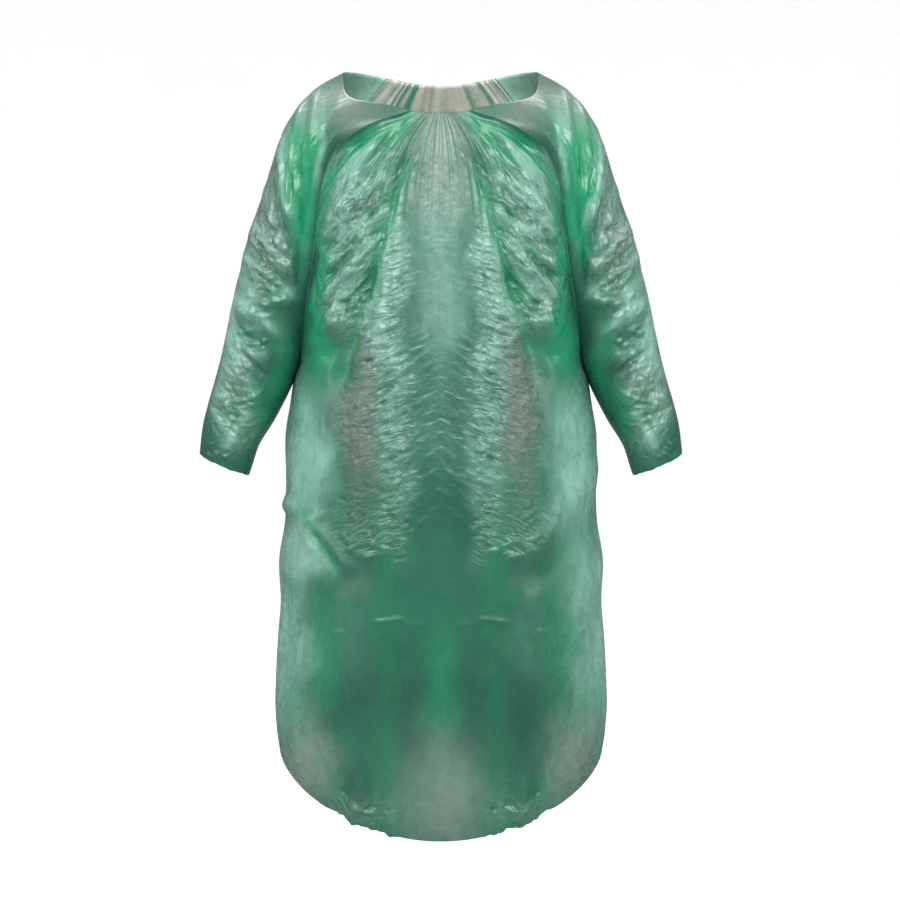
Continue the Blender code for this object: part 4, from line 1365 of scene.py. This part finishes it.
# Settings
def length_setting(name, description, default, low=0.0):
    """A setting in metres."""
    return FloatProperty(name=name, description=description, default=default, min=low, unit="LENGTH")


def share_setting(name, description, default, low=0.0, high=1.0):
    """A setting that is a share."""
    return FloatProperty(
        name=name, description=description, default=default, min=low, max=high, subtype="FACTOR"
    )


def colour_setting(name, description, *default):
    """A colour."""
    return FloatVectorProperty(name=name, description=description, default=default, subtype="COLOR")


class FilmSettings(bpy.types.PropertyGroup):
    """The film's thickness, colours and gloss."""

    wall: length_setting("Wall", "Thickness of the film as built", 0.0006, 0.0002)
    leaf_colour: colour_setting("Leaf green", "Main colour of the film", 0.016, 0.132, 0.080)
    shade_colour: colour_setting("Shade green", "Darker clouds in the film", 0.010, 0.080, 0.053)
    # Painted sheen: a light mint green that stands in for the soft boxes' broad reflection and for light
    # from behind
    painted_sheen_colour: colour_setting("Milky green", "Loose film in soft light", 0.215, 0.465, 0.370)
    # Painted valley green: the saturated green that light through doubled film gives, painted into valleys,
    # troughs and pleat hollows
    painted_valley_colour: colour_setting("Deep green", "Film that lies double", 0.005, 0.275, 0.125)
    # Painted glare: a dull greyish green that stands in for the soft boxes' reflection on the chest,
    # shoulders and hem
    painted_glare_colour: colour_setting("Grey green", "Film with a dull bloom", 0.290, 0.290, 0.270)
    # Painted light, pink: highlights on the back's neck pleats, light on the inside of its neck, and a
    # highlight strip along its armholes
    pale_colour: colour_setting("Pale pink", "Pleats inside the neck", 0.700, 0.640, 0.580)
    # Painted light, mint: light on the inside of the neck and shoulders, and a highlight strip along the
    # front's armholes
    mint_colour: colour_setting("Pale mint", "Inside of the shoulders", 0.420, 0.720, 0.600)
    glow_colour: colour_setting("Glow", "Light that comes through", 0.020, 0.330, 0.168)
    glow_share: share_setting("Glow share", "How much light comes through", 0.25)
    roughness: share_setting("Roughness", "How soft reflections are", 0.27, 0.1, 0.9)
    gloss: share_setting("Gloss", "How strong reflections are", 0.85)
    bump_depth: length_setting("Fine relief", "Depth of the finest creases", 0.0050)
    bump_strength: share_setting("Relief share", "How much of that relief shows", 0.9)


class FoldSettings(bpy.types.PropertyGroup):
    """How strongly the film is creased."""

    line_share: share_setting("Single creases", "Height of the hand-placed creases", 1.3, high=4.0)
    crease_share: share_setting("Short creases", "Height of the scattered creases", 1.5, high=4.0)
    facet_depth: length_setting("Facet depth", "Depth of crumpled facets", 0.0032)
    seed: IntProperty(name="Seed", description="Picks another scatter of short creases", default=4, min=0)


class WeldSettings(bpy.types.PropertyGroup):
    """The heat-sealed seams."""

    width: length_setting("Width", "Width of a weld", 0.0020, 0.0005)
    pitch: length_setting("Pitch", "Length of one crimp", 0.0040, 0.001)
    crimp: share_setting("Crimp", "How much narrower every second step is", 0.3, high=0.8)


class StageSettings(bpy.types.PropertyGroup):
    """The studio's floor and light."""

    floor_height: length_setting("Floor", "Height of the floor", -1.50, -10.0)
    backdrop_colour: colour_setting("Backdrop", "Colour of floor and walls", 0.94, 0.94, 0.94)
    sky: FloatProperty(
        name="Sky", description="Strength of the light from straight above", default=1.42, min=0
    )
    lights: FloatProperty(name="Lights", description="Strength of the soft boxes", default=1.0, min=0)


# Studio
def studio_bowl(settings):
    """A round floor whose edge bends up into a wall all round, so that every view has the same backdrop."""
    turns = [math.pi / 2 * k / STAGE_BEND_STEPS for k in range(STAGE_BEND_STEPS + 1)]
    profile = [(STAGE_RADIUS + STAGE_BEND * math.sin(t), STAGE_BEND * (1 - math.cos(t))) for t in turns]
    profile.append((STAGE_RADIUS + STAGE_BEND, STAGE_TOP - settings.floor_height))
    points = [(0, 0, settings.floor_height)]
    for radius, rise in profile:
        for k in range(STAGE_SIDES):
            turn = 2 * math.pi * k / STAGE_SIDES
            points.append((radius * math.cos(turn), radius * math.sin(turn), settings.floor_height + rise))
    faces = []
    for k in range(STAGE_SIDES):
        after = (k + 1) % STAGE_SIDES
        faces.append((0, 1 + k, 1 + after))
        for ring in range(len(profile) - 1):
            low, high = 1 + ring * STAGE_SIDES, 1 + (ring + 1) * STAGE_SIDES
            faces.append((low + k, high + k, high + after, low + after))
    mesh = bpy.data.meshes.new("studio_bowl")
    mesh.from_pydata(points, [], faces)
    mesh.shade_smooth()
    mesh.materials.append(paper_material(settings.backdrop_colour))
    bowl = put("studio_bowl", mesh)
    bowl.visible_glossy = False
    return bowl


def soft_box(box, strength):
    """One large soft light, aimed at the garment's middle line and hidden from the camera."""
    lamp = bpy.data.lights.new(box.name, "AREA")
    lamp.shape = "RECTANGLE"
    lamp.size, lamp.size_y = box.width, box.height
    lamp.energy = box.power * strength
    light = put(box.name, lamp)
    light.location = (box.x, box.y, box.z)
    aim = Vector((0, 0, box.aim_z)) - light.location
    light.rotation_euler = aim.to_track_quat("-Z", "Y").to_euler()
    light.visible_camera = False


def sky_light(strength):
    """A world that is brightest straight above."""
    world = bpy.data.worlds.new("even_sky")
    world.use_nodes = True
    nodes = Nodes(world.node_tree)
    way = nodes.add("ShaderNodeTexCoord").outputs["Generated"]
    upward = nodes.add("ShaderNodeSeparateXYZ", way).outputs[2]
    light = nodes.spread(upward, strength * SKY_LOW, strength)
    sky = nodes.add("ShaderNodeBackground", (1, 1, 1, 1), light)
    nodes.add("ShaderNodeOutputWorld", sky.outputs[0])
    return world


def photo_camera():
    """The camera at the photograph's place."""
    lens = bpy.data.cameras.new("photo_camera")
    lens.lens = CAMERA_LENS
    lens.sensor_width = SENSOR_WIDTH
    camera = put("photo_camera", lens)
    camera.location = CAMERA_PLACE
    camera.rotation_euler = (math.radians(CAMERA_TILT), 0, 0)
    return camera


# Operators
class APRON_OT_stage(bpy.types.Operator):
    """Makes the camera, the floor and the soft light."""

    bl_idname = "apron.stage"
    bl_label = "Make the studio"

    def execute(self, context):
        settings = context.scene.apron_stage
        studio_bowl(settings)
        for box in SOFT_BOXES:
            soft_box(box, settings.lights)
        context.scene.world = sky_light(settings.sky)
        context.scene.camera = photo_camera()
        context.scene.view_settings.view_transform = "Standard"
        return {"FINISHED"}


class APRON_OT_front(bpy.types.Operator):
    """Makes the front panel."""

    bl_idname = "apron.front"
    bl_label = "Make the front"

    def execute(self, context):
        film, folds = context.scene.apron_film, context.scene.apron_folds
        film_piece(make_panel(FRONT_PANEL, folds), film.wall, film_material("front_film", film, FRONT_SKIN))
        return {"FINISHED"}


class APRON_OT_back(bpy.types.Operator):
    """Makes the back panel."""

    bl_idname = "apron.back"
    bl_label = "Make the back"

    def execute(self, context):
        film, folds = context.scene.apron_film, context.scene.apron_folds
        film_piece(make_panel(BACK_PANEL, folds), film.wall, film_material("back_film", film, BACK_SKIN))
        return {"FINISHED"}


class APRON_OT_sleeves(bpy.types.Operator):
    """Makes the two sleeves."""

    bl_idname = "apron.sleeves"
    bl_label = "Make the sleeves"

    def execute(self, context):
        film, folds = context.scene.apron_film, context.scene.apron_folds
        material = film_material("sleeve_film", film, SLEEVE_SKIN)
        for name, side in (("sleeve_film_right", WEARERS_RIGHT), ("sleeve_film_left", WEARERS_LEFT)):
            film_piece(make_sleeve(name, side, folds), film.wall, material)
        return {"FINISHED"}


class APRON_OT_welds(bpy.types.Operator):
    """Makes the heat-sealed seams between the pieces."""

    bl_idname = "apron.welds"
    bl_label = "Make the seam welds"

    def execute(self, context):
        settings = context.scene.apron_welds
        material, tree = weld_material(context.scene.apron_film), weld_tree()
        lower = np.linspace(0, UNDERARM, LOWER_WELD_POINTS)
        upper = np.linspace(UNDERARM, 2, UPPER_WELD_POINTS)
        for word, side in (("right", WEARERS_RIGHT), ("left", WEARERS_LEFT)):
            raglan = [seam_line(FRONT, upper, side), seam_line(BACK, upper, side)]
            underside = inner_ends(lower, FRONT, side)[:, 0]
            weld_piece(f"sleeve_weld_{word}", [*raglan, underside], tree, settings, material)
            weld_piece(f"side_weld_{word}", [seam_line(FRONT, lower, side)], tree, settings, material)
        return {"FINISHED"}


class APRON_OT_fasten(bpy.types.Operator):
    """Fastens every piece and its welds to the frame, and hides the solid it stands for."""

    bl_idname = "apron.fasten"
    bl_label = "Fasten the pieces"

    def execute(self, context):
        side_welds = ["side_weld_right", "side_weld_left"]
        rows = (
            ("front_film", "front_panel", "front_film", FRONT_CUT, "gathered", side_welds),
            ("back_film", "back_panel", "back_film", BACK_CUT, "gathered", []),
            ("sleeve_film_right", "sleeve_right", "sleeve_film", SLEEVE_CUT, "hung", ["sleeve_weld_right"]),
            ("sleeve_film_left", "sleeve_left", "sleeve_film", SLEEVE_CUT, "hung", ["sleeve_weld_left"]),
        )
        for name, node, slot, cut, held, welds in rows:
            for piece_name in (name, *welds):
                piece = bpy.data.objects[piece_name]
                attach(piece, BODY)
            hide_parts(node)
        return {"FINISHED"}


class APRON_PT_sidebar(bpy.types.Panel):
    """Lists the settings and the steps of the apron."""

    bl_idname = "APRON_PT_sidebar"
    bl_label = "Sleeved film apron"
    bl_space_type = "VIEW_3D"
    bl_region_type = "UI"
    bl_category = "Apron"

    def draw(self, context):
        for name, group in SETTINGS:
            box = self.layout.box()
            box.label(text=group.__doc__.rstrip("."))
            for key in group.__annotations__:
                box.prop(getattr(context.scene, name), key)
        for operator in OPERATORS:
            self.layout.operator(operator.bl_idname)


SETTINGS = (
    ("apron_film", FilmSettings),
    ("apron_folds", FoldSettings),
    ("apron_welds", WeldSettings),
    ("apron_stage", StageSettings),
)
OPERATORS = (
    APRON_OT_stage,
    APRON_OT_front,
    APRON_OT_back,
    APRON_OT_sleeves,
    APRON_OT_welds,
    APRON_OT_fasten,
)


def register():
    for name, group in SETTINGS:
        bpy.utils.register_class(group)
        setattr(bpy.types.Scene, name, PointerProperty(type=group))
    for shown in (*OPERATORS, APRON_PT_sidebar):
        bpy.utils.register_class(shown)


def unregister():
    for shown in (APRON_PT_sidebar, *reversed(OPERATORS)):
        bpy.utils.unregister_class(shown)
    for name, group in reversed(SETTINGS):
        delattr(bpy.types.Scene, name)
        bpy.utils.unregister_class(group)


def main():
    """Builds everything in order."""
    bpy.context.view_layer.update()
    register()
    bpy.ops.apron.stage()
    bpy.ops.apron.front()
    bpy.ops.apron.back()
    bpy.ops.apron.sleeves()
    bpy.ops.apron.welds()
    bpy.ops.apron.fasten()


if __name__ == "__main__":
    main()
